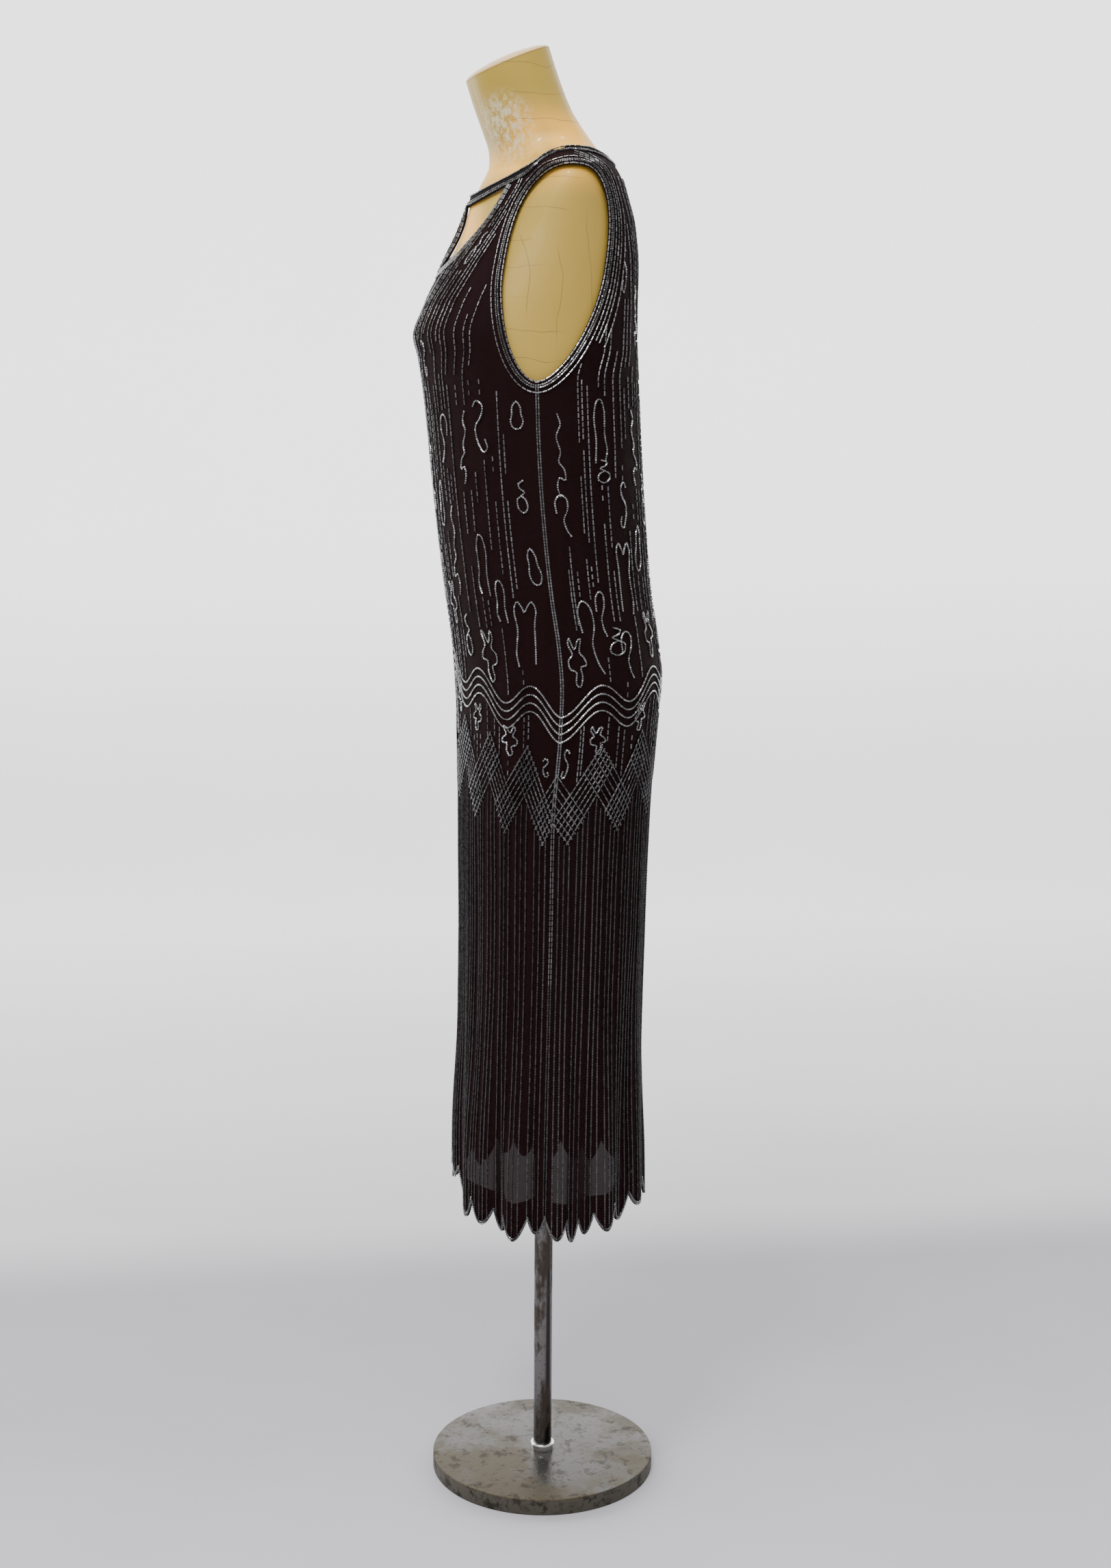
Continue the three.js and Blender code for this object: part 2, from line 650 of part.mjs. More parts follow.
function formRing(section, zFront, zBack) {
  return Array.from({ length: FORM_STEPS }, (_, i) => {
    const { x, y } = sectionPoint(section, (2 * Math.PI * i) / FORM_STEPS);
    const share = (y - section.front) / (section.back - section.front);
    return new THREE.Vector3(x, y, THREE.MathUtils.lerp(zFront, zBack, share));
  });
}

// The form's trunk follows the dress from the bust up, lying just inside and below it
function upperFormSection(z) {
  const section = sectionAt(z + FORM_DROP);
  return {
    ...section,
    front: section.front + FORM_CLEAR,
    back: section.back - FORM_CLEAR,
    half: section.half - FORM_CLEAR,
  };
}

function formGeometry() {
  const circle = (radius, z) => Array.from({ length: FORM_STEPS }, (_, i) => {
    const angle = (2 * Math.PI * i) / FORM_STEPS;
    return new THREE.Vector3(radius * Math.sin(angle), -radius * Math.cos(angle), z);
  });
  const socket = POLE.radius + FIT_GAP;
  const rings = [circle(socket, POLE.top + FIT_GAP), circle(socket, FORM_LOWER[0].z)];
  FORM_LOWER.forEach((row) => {
    rings.push(formRing({ ...row, hollowFront: row.hollow, hollowBack: row.hollow }, row.z, row.z));
  });
  FORM_UPPER_LEVELS.forEach((z) => rings.push(formRing(upperFormSection(z), z, z)));
  const neckSection = (row) => ({ ...row, hollowFront: 0, hollowBack: 0 });
  NECK.forEach((row) => rings.push(formRing(neckSection(row), row.zFront, row.zBack)));
  const rim = NECK[NECK.length - 1];
  const rimRing = rings[rings.length - 1];
  const middle = middleOf(rimRing);
  const upward = new THREE.Vector3(0, -(rim.zBack - rim.zFront), rim.back - rim.front).normalize();
  NECK_CAP.forEach(({ share, rise }) => {
    rings.push(rimRing.map((p) => p.clone().lerp(middle, 1 - share).addScaledVector(upward, rise)));
  });
  return loft(rings);
}

function turned(profile, steps) {
  const geometry = new THREE.LatheGeometry(profile.map(([r, z]) => new THREE.Vector2(r, z)), steps);
  return geometry.rotateX(RIGHT_ANGLE);
}

function baseGeometry() {
  const { radius, height, edge, socketFloor } = BASE;
  const socket = POLE.radius + FIT_GAP;
  return turned([
    [0, 0],
    [radius - edge / 2, 0],
    [radius, edge / 2],
    [radius, height - edge],
    [radius - edge * BEVEL_SHARE, height - edge * BEVEL_SHARE],
    [radius - edge, height],
    [socket, height],
    [socket, socketFloor],
    [0, socketFloor],
  ], ROUND_STEPS);
}

function poleGeometry() {
  const foot = BASE.socketFloor + FIT_GAP;
  const { radius, top, steps } = POLE;
  return turned([[0, foot], [radius, foot], [radius, top], [0, top]], steps);
}

function collarGeometry() {
  const inner = POLE.radius + FIT_GAP;
  const foot = BASE.height + FIT_GAP;
  const top = foot + COLLAR.height;
  return turned([
    [inner, foot],
    [COLLAR.radius, foot],
    [COLLAR.radius, top - COLLAR.edge],
    [COLLAR.radius - COLLAR.edge * BEVEL_SHARE, top - COLLAR.edge * BEVEL_SHARE],
    [COLLAR.radius - COLLAR.edge, top],
    [inner, top],
    [inner, foot],
  ], POLE.steps);
}

const dressOnForm = new THREE.Group();

function addPiece(name, geometry, material) {
  const mesh = new THREE.Mesh(geometry, material);
  mesh.name = name;
  dressOnForm.add(mesh);
}

const frontSkirt = skirtRows(FRONT_EDGES, frontSeamAngle);
const backSkirt = skirtRows(BACK_EDGES, backSeamAngle);
const frontYokeRows = frontYoke(frontSkirt[frontSkirt.length - 1]);
const backYokeRows = backYoke(backSkirt[backSkirt.length - 1]);
const vRow = FRONT_YOKE[0].rows;
const joinRow = vRow + FRONT_YOKE[1].rows;
const bothSidesFront = bothHalves([...frontSkirt, ...frontYokeRows.slice(1, vRow + 1)], 0);
const leftStrap = frontYokeRows.slice(vRow);
const rightStrap = leftStrap.map((row) => mirrored(row, 0));
const bothSidesBack = bothHalves([...backSkirt, ...backYokeRows.slice(1)], Math.PI);
const frontNeckAngles = frontYokeRows.slice(joinRow).map((row) => row[0].angle);
const backNeck = backYokeRows[BACK_YOKE_ROWS].slice(0, -BACK_SHOULDER_STEPS);
const backNeckAngles = backNeck.map((place) => place.angle);

addPiece(
  'dress_front',
  clothWall([bothSidesFront, leftStrap, rightStrap], CLOTH),
  clothMaterial(WINE),
);
addPiece('dress_back', clothWall([bothSidesBack], CLOTH), clothMaterial(WINE));
addPiece(
  'hem_facing_front',
  clothWall([bothSidesFront.slice(0, FACING_ROWS)], FACING_CLOTH, FACING_DEPTH),
  clothMaterial(BLACK),
);
addPiece(
  'hem_facing_back',
  clothWall([bothSidesBack.slice(0, FACING_ROWS)], FACING_CLOTH, FACING_DEPTH),
  clothMaterial(BLACK),
);
addPiece(
  'neck_band',
  clothWall([bandRows(frontNeckAngles, backNeckAngles)], CLOTH),
  clothMaterial(GUNMETAL),
);
addPiece('centre_strap', strapGeometry(), clothMaterial(GUNMETAL));
addPiece(
  'form_torso',
  formGeometry(),
  new THREE.MeshStandardMaterial({ color: 0xbda86e, roughness: 0.3, metalness: 0.0 }),
);
addPiece(
  'stand_pole',
  poleGeometry(),
  new THREE.MeshStandardMaterial({ color: 0x8d8a84, roughness: 0.3, metalness: 1.0 }),
);
addPiece(
  'stand_collar',
  collarGeometry(),
  new THREE.MeshStandardMaterial({ color: 0xc9cacb, roughness: 0.15, metalness: 1.0 }),
);
addPiece(
  'stand_base',
  baseGeometry(),
  new THREE.MeshStandardMaterial({ color: 0x8b8a85, roughness: 0.4, metalness: 0.9 }),
);

export default dressOnForm;
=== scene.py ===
# %% [markdown]
# # A beaded flapper dress on a dress form
#
# The dress is sheer dark chiffon, sewn all over with rows of gunmetal glass
# beads. It hangs on a lacquered papier-mache form with a pole and a steel base.
# The CAD model gives every size. Blender adds what CAD leaves out: the thin
# cloth with its soft creases, the beads, and the worn finishes.

# %% Load the frame
import math

import bpy
import numpy as np
from mathutils import Matrix, Vector


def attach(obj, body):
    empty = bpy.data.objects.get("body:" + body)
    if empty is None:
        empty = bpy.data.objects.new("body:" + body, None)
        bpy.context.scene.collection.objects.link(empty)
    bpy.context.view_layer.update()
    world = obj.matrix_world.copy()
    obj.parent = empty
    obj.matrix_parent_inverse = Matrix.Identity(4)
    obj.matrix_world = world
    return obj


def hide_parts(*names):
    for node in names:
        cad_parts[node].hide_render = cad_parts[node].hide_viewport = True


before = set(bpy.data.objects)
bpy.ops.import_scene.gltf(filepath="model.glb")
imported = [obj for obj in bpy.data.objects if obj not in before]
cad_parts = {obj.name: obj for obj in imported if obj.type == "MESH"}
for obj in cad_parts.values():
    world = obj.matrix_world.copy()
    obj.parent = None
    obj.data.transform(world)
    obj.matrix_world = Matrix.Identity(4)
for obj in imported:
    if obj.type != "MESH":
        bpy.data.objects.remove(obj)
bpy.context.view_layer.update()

MM = 0.001  # the tables below are in millimetres, Blender's objects in metres
print("CAD nodes:", sorted(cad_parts))

# %% [markdown]
# ## The camera
#
# The round base is seen as an ellipse, and the pole shows what is upright.
# Those two fix the camera: how high it was, how far off, and how it leaned.
# The lens is worked out from the picture's height in pixels, so that the render
# has the same perspective as the photograph.

# %% Camera
PHOTO_HEIGHT = 2291  # pixels
FOCAL_LENGTH = 3182  # in the photograph's pixels
FILM_HEIGHT = 36.0  # millimetres
CAMERA_HEIGHT, CAMERA_DISTANCE = 1.326, 2.616
AZIMUTH, PITCH, TURNED, ROLLED = np.radians([82.0, 9.6, 0.249, 0.37])

toward = Vector((math.sin(AZIMUTH), -math.cos(AZIMUTH), 0))
beside = Vector((math.cos(AZIMUTH), math.sin(AZIMUTH), 0))
level = beside * math.sin(TURNED) - toward * math.cos(TURNED)
forward = level * math.cos(PITCH) - Vector((0, 0, math.sin(PITCH)))
right = Vector((level.y, -level.x, 0))
up = right.cross(forward)
leaning = (
    right * math.cos(ROLLED) + up * math.sin(ROLLED),
    up * math.cos(ROLLED) - right * math.sin(ROLLED),
    -forward,
)
film = bpy.data.cameras.new("photo_camera")
film.sensor_fit, film.sensor_height = "VERTICAL", FILM_HEIGHT
film.lens = FOCAL_LENGTH / PHOTO_HEIGHT * FILM_HEIGHT
camera = bpy.data.objects.new("photo_camera", film)
place = Matrix(leaning).transposed().to_4x4()
place.translation = toward * CAMERA_DISTANCE + Vector((0, 0, CAMERA_HEIGHT))
camera.matrix_world = place
bpy.context.scene.collection.objects.link(camera)
bpy.context.scene.camera = camera
print(f"camera: {film.lens:.1f} mm lens")

# %% [markdown]
# ## Light
#
# Glass beads show what they reflect: those that face the camera see the dim room
# behind it and stay grey, and those on the edges see the windows and glitter. A
# wide soft ceiling light does most, and two small lamps give the lacquer and the
# beads their crisp points of light.

# %% Lights
DRESS_MIDDLE, ROOM_GLOW = Vector((0, 0, 1.0)), 0.7
LAMPS = [  # name, place, width, height, watts
    ("front_lamp", (1.4, -0.85, 3.6), 0.5, 0.3, 40),
    ("back_lamp", (0.35, 0.75, 3.6), 0.35, 0.35, 9),
    ("ceiling", (1.3, -0.8, 3.8), 3.0, 3.0, 88),
    ("front_window", (-1.4, -2.6, 1.4), 1.4, 2.4, 50),
    ("back_window", (-1.4, 2.6, 1.4), 1.4, 2.4, 22),
]


def soft_light(name, place, width, height, watts):
    """An area light that faces the middle of the dress."""
    lamp = bpy.data.lights.new(name, "AREA")
    lamp.shape, lamp.size, lamp.size_y, lamp.energy = "RECTANGLE", width, height, watts
    light = bpy.data.objects.new(name, lamp)
    light.location, light.visible_camera = place, False
    aim = DRESS_MIDDLE - Vector(place)
    light.rotation_mode = "QUATERNION"
    light.rotation_quaternion = aim.to_track_quat("-Z", "Y")
    bpy.context.scene.collection.objects.link(light)


for lamp in LAMPS:
    soft_light(*lamp)

world = bpy.data.worlds.new("room")
bpy.context.scene.world = world
world.use_nodes = True
sky = world.node_tree.nodes["Background"]
sky.inputs["Color"].default_value = (1.0, 1.0, 1.0, 1)
sky.inputs["Strength"].default_value = ROOM_GLOW
print("lamps:", len(LAMPS))

# %% [markdown]
# ## Floor and wall
#
# A pale floor sweeps up into a white wall some way behind the dress, as a paper
# roll does in a studio. The bend has no corner, so no hard line crosses the
# picture behind the dress.

# %% Floor and wall
FLOOR_SIZE, ABOVE_FLOOR = 40.0, 0.001
SWEEP_START, SWEEP_RADIUS, SWEEP_FOOT, WALL_TOP, WALL_HALF = -3.0, 1.5, 0.5, 7.0, 6.0
bpy.ops.mesh.primitive_plane_add(size=FLOOR_SIZE)
floor = bpy.context.object
floor.name = "floor"

bend = np.linspace(0, math.pi / 2, 24)
profile = [
    (SWEEP_START + SWEEP_FOOT, 0.0),
    *[(SWEEP_START - SWEEP_RADIUS * math.sin(b), SWEEP_RADIUS * (1 - math.cos(b))) for b in bend],
    (SWEEP_START - SWEEP_RADIUS, WALL_TOP),
]
sheet = bpy.data.meshes.new("wall")
sheet.from_pydata(
    [(x, y, z + ABOVE_FLOOR) for x, z in profile for y in (-WALL_HALF, WALL_HALF)],
    [],
    [(2 * i, 2 * i + 1, 2 * i + 3, 2 * i + 2) for i in range(len(profile) - 1)],
)
sheet.shade_smooth()
wall = bpy.data.objects.new("wall", sheet)
bpy.context.scene.collection.objects.link(wall)
print("wall:", len(sheet.polygons), "faces")

# %% [markdown]
# ## Shader sums that read like sums
#
# Blender's shader editor does sums with Math nodes. The small class here wraps
# a socket, so that `1 - mask * 0.5` in the script makes those nodes. Any other
# node comes from its one method `node`.


# %% Shader helper
class Wire:
    """A socket of a shader tree that takes part in sums."""

    def __init__(self, tree, socket=None):
        self.tree, self.socket = tree, socket

    def node(self, kind, values, output=0, **settings):
        """Adds a node: its settings first, then the values or links of its inputs."""
        made = self.tree.nodes.new(kind)
        for name, value in settings.items():
            setattr(made, name, value)
        for name, value in values.items():
            if isinstance(value, Wire):
                self.tree.links.new(value.socket, made.inputs[name])
            else:
                made.inputs[name].default_value = value
        return Wire(self.tree, made.outputs[output])

    def maths(self, operation, a, b=0.0):
        return self.node("ShaderNodeMath", {0: a, 1: b}, operation=operation)

    def __add__(self, other):
        return self.maths("ADD", self, other)

    def __sub__(self, other):
        return self.maths("SUBTRACT", self, other)

    def __rsub__(self, other):
        return self.maths("SUBTRACT", other, self)

    def __mul__(self, other):
        return self.maths("MULTIPLY", self, other)

    __radd__, __rmul__ = __add__, __mul__

    def step(self, low, high):
        """0 below low and 1 above high, with a soft change between them."""
        return self.node(
            "ShaderNodeMapRange",
            {"Value": self, "From Min": low, "From Max": high},
            interpolation_type="SMOOTHSTEP",
        )

    def mix(self, a, b):
        """Colour a where this is 0, and colour b where it is 1."""
        a, b = [(*c, 1.0) if isinstance(c, tuple) else c for c in (a, b)]
        share, first, second, mixed = 0, 6, 7, 2  # the node's sockets for colours
        values = {share: self, first: a, second: b}
        return self.node("ShaderNodeMix", values, output=mixed, data_type="RGBA")


# %% [markdown]
# ## Finishes
#
# A finish is a function that says what feeds each input of the surface. Most
# wear, dirt and grain is noise in the object's own place, so it stays where it
# is when the camera moves, and needs no picture.


# %% Finish helpers
def finish(name, paint):
    """A material. paint(wire) gives the values and links of its surface."""
    material = bpy.data.materials.new(name)
    material.use_nodes = True
    tree = material.node_tree
    surface = tree.nodes["Principled BSDF"]
    for socket, value in paint(Wire(tree)).items():
        if isinstance(value, Wire):
            tree.links.new(value.socket, surface.inputs[socket])
        else:
            surface.inputs[socket].default_value = value
    return material


def place_of(wire):
    return wire.node("ShaderNodeTexCoord", {}, output="Object")


def axis_of(wire, axis):
    return wire.node("ShaderNodeSeparateXYZ", {"Vector": place_of(wire)}, output=axis)


def noise(wire, scale, detail=3.0, stretch=(1, 1, 1), roughness=0.5):
    """Noise in the object's own place, drawn out where stretch is under 1."""
    drawn = wire.node(
        "ShaderNodeVectorMath", {0: place_of(wire), 1: stretch}, operation="MULTIPLY"
    )
    return wire.node(
        "ShaderNodeTexNoise",
        {"Vector": drawn, "Scale": scale, "Detail": detail, "Roughness": roughness},
    )


def bump(wire, height, strength, distance):
    return wire.node(
        "ShaderNodeBump",
        {"Height": height, "Strength": strength, "Distance": distance},
    )


def dress_object(obj, node, material):
    """Gives a finished piece its material, hangs it under the root, and hides the CAD part that it
    replaces.
    """
    obj.data.materials.clear()
    obj.data.materials.append(material)
    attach(obj, "root")
    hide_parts(node)
    return obj


# %% [markdown]
# ## Studio paint
#
# The wall behind the dress is the brightest thing in the picture. Its paint,
# and the floor's far behind the dress, therefore glows a little with painted
# light, more the farther it lies behind the dress and the higher up the wall.
# The floor carries painted shade: a quiet grey near the base, darker toward
# the wall and paler toward the camera.

# %% Studio paint
# The floor's two tones, mixed by painted shade and a little grain.
FLOOR_SHADE_AND_GRAIN_TONES = (0.27, 0.27, 0.295), (0.62, 0.61, 0.65)
# Colour and strength of the painted glow: wall and far floor shine with no lamp.
UNLIT, PAINTED_GLOW, PAINTED_GLOW_STRENGTH = (0.0, 0.0, 0.0), (1.0, 0.995, 0.98), 2.2


def studio_paint(wire):
    """Pale paint on floor and wall, with a painted glow that grows the farther it is behind the
    dress and up the wall, and painted shade on the floor.
    """
    behind = 0.0 - axis_of(wire, "X")
    # Painted glow, growing behind the dress and up the wall.
    painted_glow = behind.step(0.60, 0.90) * 0.20 + behind.step(0.8, 1.8) * 0.16
    painted_glow = painted_glow + behind.step(1.6, 3.2) * 0.27 + axis_of(wire, "Z").step(0.1, 1.0) * 0.37
    grain = noise(wire, 3.0) * 0.2
    # Painted shade on the floor: darker toward the wall, paler toward the camera.
    painted_floor_shade = 0.8 - behind.step(-0.9, 0.7) * 0.6
    return {
        "Base Color": (painted_floor_shade + grain).mix(*FLOOR_SHADE_AND_GRAIN_TONES),
        "Roughness": 0.7,
        "Emission Color": painted_glow.mix(UNLIT, PAINTED_GLOW),
        "Emission Strength": PAINTED_GLOW_STRENGTH,
    }


studio_painted_light = finish("studio_painted_light", studio_paint)
for obj in (floor, wall):
    obj.data.materials.append(studio_painted_light)
print("painted:", floor.name, wall.name)

# %% [markdown]
# ## The dress as a sum
#
# The CAD model describes the dress by level sections: how far it reaches to the
# front, back and sides at each height. The same table is used here, so that
# cloth and beads can be placed on the surface by an angle round the body and a
# height. Angle 0 is the centre front, and a right angle is the wearer's left.

# %% Level sections
SECTIONS = np.array(
    [  # height, front, back, side seam, half width, hollow front, hollow back
        (330, -112, 123, -21, 152, -0.05, -0.05),
        (443, -112, 121, -20, 152, -0.05, -0.05),
        (585, -108, 119, -18, 154, -0.05, -0.05),
        (724, -106, 121, -16, 158, -0.05, -0.05),
        (861, -106, 125, -15, 163, -0.06, -0.05),
        (962, -107, 132, -8, 168, -0.06, -0.04),
        (1018, -110, 137, -6, 168, -0.06, -0.04),
        (1062, -114, 132, -9, 165, -0.06, -0.04),
        (1127, -123, 122, -18, 160, -0.05, -0.05),
        (1193, -131, 116, -25, 156, -0.04, -0.06),
        (1257, -138, 111, -30, 153, -0.03, -0.07),
        (1322, -144, 107, -33, 151, -0.02, -0.08),
        (1364, -149, 105, -34, 150, 0, -0.08),
        (1394, -154, 103, -31, 149, 0, -0.08),
        (1417, -159, 102, -27, 147, 0, -0.08),
        (1449, -148, 102, -20, 144, 0.02, -0.07),
        (1496, -127, 103, -8, 138, 0.08, -0.04),
        (1542, -105, 99, 2, 133, 0.2, 0),
        (1580, -91, 89, 8, 131, 0.34, 0.06),
        (1594, -85, 85, 9.5, 129, 0.4, 0.1),
        (1603, -80, 81, 10.5, 124, 0.4, 0.12),
        (1610, -77, 77, 11.5, 110, 0.4, 0.14),
        (1618, -74, 71, 13, 90, 0.38, 0.14),
        (1626, -73, 64, 14, 71, 0.34, 0.12),
        (1636, -72, 56, 15, 58, 0.3, 0.1),
    ]
)
HOLLOW_DEPTH_SHARE = 0.75
RIGHT_ANGLE = math.pi / 2


def smooth_table(keys, values):
    """Reads a table without overshoot between its rows."""
    rise = np.diff(values) / np.diff(keys)
    product, total = rise[:-1] * rise[1:], rise[:-1] + rise[1:]
    inner = np.where(product > 0, 2 * product / np.where(product > 0, total, 1), 0)
    slope = np.concatenate([rise[:1], inner, rise[-1:]])

    def read(at):
        at = np.clip(at, keys[0], keys[-1])
        i = np.clip(np.searchsorted(keys, at) - 1, 0, len(keys) - 2)
        span = keys[i + 1] - keys[i]
        t = (at - keys[i]) / span
        return (
            (2 * t**3 - 3 * t**2 + 1) * values[i]
            + (t**3 - 2 * t**2 + t) * span * slope[i]
            + (3 * t**2 - 2 * t**3) * values[i + 1]
            + (t**3 - t**2) * span * slope[i + 1]
        )

    return read


def soft_step(t):
    t = np.clip(t, 0, 1)
    return t * t * (3 - 2 * t)


section_columns = [smooth_table(SECTIONS[:, 0], SECTIONS[:, i]) for i in range(1, 7)]


def section_point(section, angle):
    """A point of a level section, and the section's depth there."""
    front, back, seam, half, hollow_front, hollow_back = section
    sine, cosine = np.sin(angle), np.cos(angle)
    hollow = np.where(cosine >= 0, hollow_front, hollow_back)
    depth = np.where(cosine >= 0, seam - front, back - seam)
    x = half * sine * (1 - hollow * cosine**2)
    y = seam - depth * cosine * (1 - HOLLOW_DEPTH_SHARE * hollow * sine**2)
    return x, y, depth


def section_at(z):
    return [column(z) for column in section_columns]


print("level sections:", len(SECTIONS))

# %% [markdown]
# ## The petal hem
#
# The hem is cut in rounded petals. Some stand out on a fold of the skirt, and
# those between are sunk and seem narrow. Each petal is a row of a table, from
# the middle of a panel out to its side. The far side has the same petals with
# slightly other tips.

# %% Petals
FRONT_PETALS = [  # width, tip, depth of the notch, how far it stands out or is sunk
    (28, 398, 20, 3),
    (28, 378, 22, -4),
    (34, 364, 24, 5),
    (38, 366, 27, 4),
    (15, 362, 20, -7),
    (33, 357, 27, 6),
    (20, 365, 22, -3),
]
BACK_PETALS = [
    (32, 362, 24, 4),
    (33, 360, 24, -4),
    (43, 374, 26, 5),
    (30, 364, 24, -5),
    (34, 360, 27, 6),
    (18, 359, 21, -4),
    (17, 350, 23, -6),
    (28, 358, 26, 5),
]
PETAL_POINT, FAR_SIDE_UNEVEN, UNEVEN_TURN = 2.0, 4.0, 2.4


def panel_of(petals, centre):
    """A panel's petals, with the turns from its centre at which they meet."""
    turns = np.linspace(centre, RIGHT_ANGLE, 400)
    x, y, _ = section_point(section_at(SECTIONS[0, 0]), turns)
    lengths = np.concatenate([[0], np.cumsum(np.hypot(np.diff(x), np.diff(y)))])
    rows = np.array(petals, float)
    uneven = FAR_SIDE_UNEVEN * np.sin(np.arange(len(rows)) * UNEVEN_TURN + len(rows))
    rows = np.column_stack([rows, rows[:, 1] + uneven])
    shares = np.concatenate([[0], np.cumsum(rows[:, 0])]) / rows[:, 0].sum()
    edges = np.interp(shares * lengths[-1], lengths, np.abs(turns - centre))
    return {"rows": rows, "edges": edges, "centre": centre}


FRONT, BACK = panel_of(FRONT_PETALS, 0.0), panel_of(BACK_PETALS, math.pi)


def petal_shape(angle):
    """The level of the tips, the hem's edge and the flute at each angle."""
    turned = np.abs(np.arctan2(np.sin(angle), np.cos(angle)))
    found = []
    for panel, other in ((FRONT, BACK), (BACK, FRONT)):
        edges, last = panel["edges"], len(panel["rows"]) - 1
        rows = np.concatenate([panel["rows"], other["rows"][-1:]])  # past the side seam
        here = np.abs(turned - panel["centre"])
        i = np.clip(np.searchsorted(edges, here) - 1, 0, last)
        across = np.clip((here - edges[i]) / (edges[i + 1] - edges[i]), 0, 1)
        j = np.maximum(np.where(across >= 0.5, i + 1, i - 1), 0)
        share = np.abs(across - 0.5)
        soft_share = (1 - np.cos(math.pi * share)) / 2

        def between(column, part=share):
            return rows[i, column] * (1 - part) + rows[j, column] * part

        level = np.where(np.sin(angle) < 0, between(4), between(1))
        edge = level + between(2) * (2 * share) ** PETAL_POINT
        found.append((level, edge, between(3, soft_share)))
    return [np.where(turned <= RIGHT_ANGLE, f, b) for f, b in zip(*found)]


print("hem petals:", len(FRONT_PETALS) * 2 + len(BACK_PETALS) * 2)

# %% [markdown]
# ## Flutes and creases
#
# The petals' folds run up the skirt as flutes and die out. Sheer cloth under
# the weight of glass falls straight, so its creases are few: long upright
# troughs in the skirt, and short soft pulls under the arm and above the hip.
# Each is a row of the table, and all are uneven. With both, the dress
# is one function, from an angle and a height to a point.

# %% Flutes and creases
FLUTE_TOP, FLUTE_FULL = 660, 380
CREASES = [  # angle in degrees, lowest and highest level, width in degrees, depth
    (12, 470, 800, 5, 1.6),
    (31, 420, 900, 4, 2.0),
    (48, 560, 880, 6, 1.5),
    (63, 400, 760, 4, 2.4),
    (79, 480, 860, 3.5, 1.4),
    (104, 430, 830, 4, 2.0),
    (121, 520, 900, 5, 1.5),
    (139, 400, 740, 4, 2.4),
    (157, 500, 880, 5, 1.6),
    (172, 420, 700, 4, 1.8),
    (74, 1040, 1210, 6, 1.8),
    (103, 1030, 1240, 7, 2.2),
    (131, 1080, 1300, 8, 1.8),
    (52, 1180, 1360, 7, 1.6),
    (84, 1240, 1350, 5, 1.4),
    (97, 1230, 1345, 4, 1.6),
]
CREASE_FADE = 0.35  # the share of a crease's length over which it dies out
FAR_CREASE_TURN = 3.0  # degrees by which the far side's creases differ


def crease_depth(angle, z):
    degrees = np.degrees(np.arctan2(np.sin(angle), np.cos(angle)))
    turned = np.abs(degrees) + np.where(degrees < 0, FAR_CREASE_TURN, 0)
    total = np.zeros(np.broadcast(angle, z).shape)
    for at, low, high, width, depth in CREASES:
        along = (z - low) / (high - low)
        window = soft_step(along / CREASE_FADE) * soft_step((1 - along) / CREASE_FADE)
        total += depth * window * np.exp(-(((turned - at) / width) ** 2))
    return total


def dress(angle, z):
    """Points of the dress's outer face, in millimetres."""
    angle, z = np.broadcast_arrays(np.asarray(angle, float), np.asarray(z, float))
    section = section_at(z)
    x, y, depth = section_point(section, angle)
    out = np.stack([depth * np.sin(angle), -section[3] * np.cos(angle)], -1)
    out /= np.linalg.norm(out, axis=-1, keepdims=True)
    growth = soft_step((FLUTE_TOP - z) / (FLUTE_TOP - FLUTE_FULL))
    push = growth * petal_shape(angle)[2] - crease_depth(angle, z)
    return np.stack([x + out[..., 0] * push, y + out[..., 1] * push, z], -1)


def normals(angle, z):
    """Outward directions, square to the dress's outer face."""
    turn, lift = 0.02, 0.6
    across = dress(angle + turn, z) - dress(angle - turn, z)
    upward = dress(angle, z + lift) - dress(angle, z - lift)
    square = np.cross(across, upward)
    return square / np.linalg.norm(square, axis=-1, keepdims=True)


print("creases:", len(CREASES) * 2)

# %% [markdown]
# ## Neckline and armhole
#
# A pattern cutter draws the edges first. The armhole is an oval that leans to
# the back at its top, the V is cut from the band down to the breast, and the
# neck band follows a line round the base of the neck. Each is kept as angles and
# levels on the dress.

# %% Neckline and armhole
ARMHOLE_MIDDLE, ARMHOLE_HALF, ARMHOLE_BREADTH = 1483, 119, 57
ARMHOLE_CENTRE, ARMHOLE_LEAN = -12, 0.185
LOWER_ROUND, UPPER_ROUND = 1.7, 2.5
UNDERARM, SHOULDER_TIP = ARMHOLE_MIDDLE - ARMHOLE_HALF, ARMHOLE_MIDDLE + ARMHOLE_HALF
BAND_WIDTH, BAND_JOIN, V_BOTTOM = 14.0, math.radians(40), 1490
band_top_at = smooth_table(
    np.array([0, 10, 21, 35, 54, 65, 75, 90, 120, 150, 180.0]),
    np.array([1577, 1578, 1582, 1591, 1607, 1618, 1624, 1628, 1628, 1623, 1621.0]),
)


def band_top(angle):
    return band_top_at(np.degrees(np.abs(np.arctan2(np.sin(angle), np.cos(angle)))))


def below_band(angle, width=BAND_WIDTH):
    """The level that lies a given way down the cloth from the neckline."""
    angle = np.asarray(angle, float)
    high = band_top(angle)
    start, low = dress(angle, high), high - 2 * width
    for _ in range(30):
        middle = (high + low) / 2
        near = np.linalg.norm(dress(angle, middle) - start, axis=-1) < width
        high, low = np.where(near, middle, high), np.where(near, low, middle)
    return (high + low) / 2


v_edge = smooth_table(
    np.radians([0, 10, 19.5, 24.5, 31, 36.5, 40]),
    np.array([V_BOTTOM, 1497, 1507, 1519, 1537, 1560, below_band(BAND_JOIN)]),
)


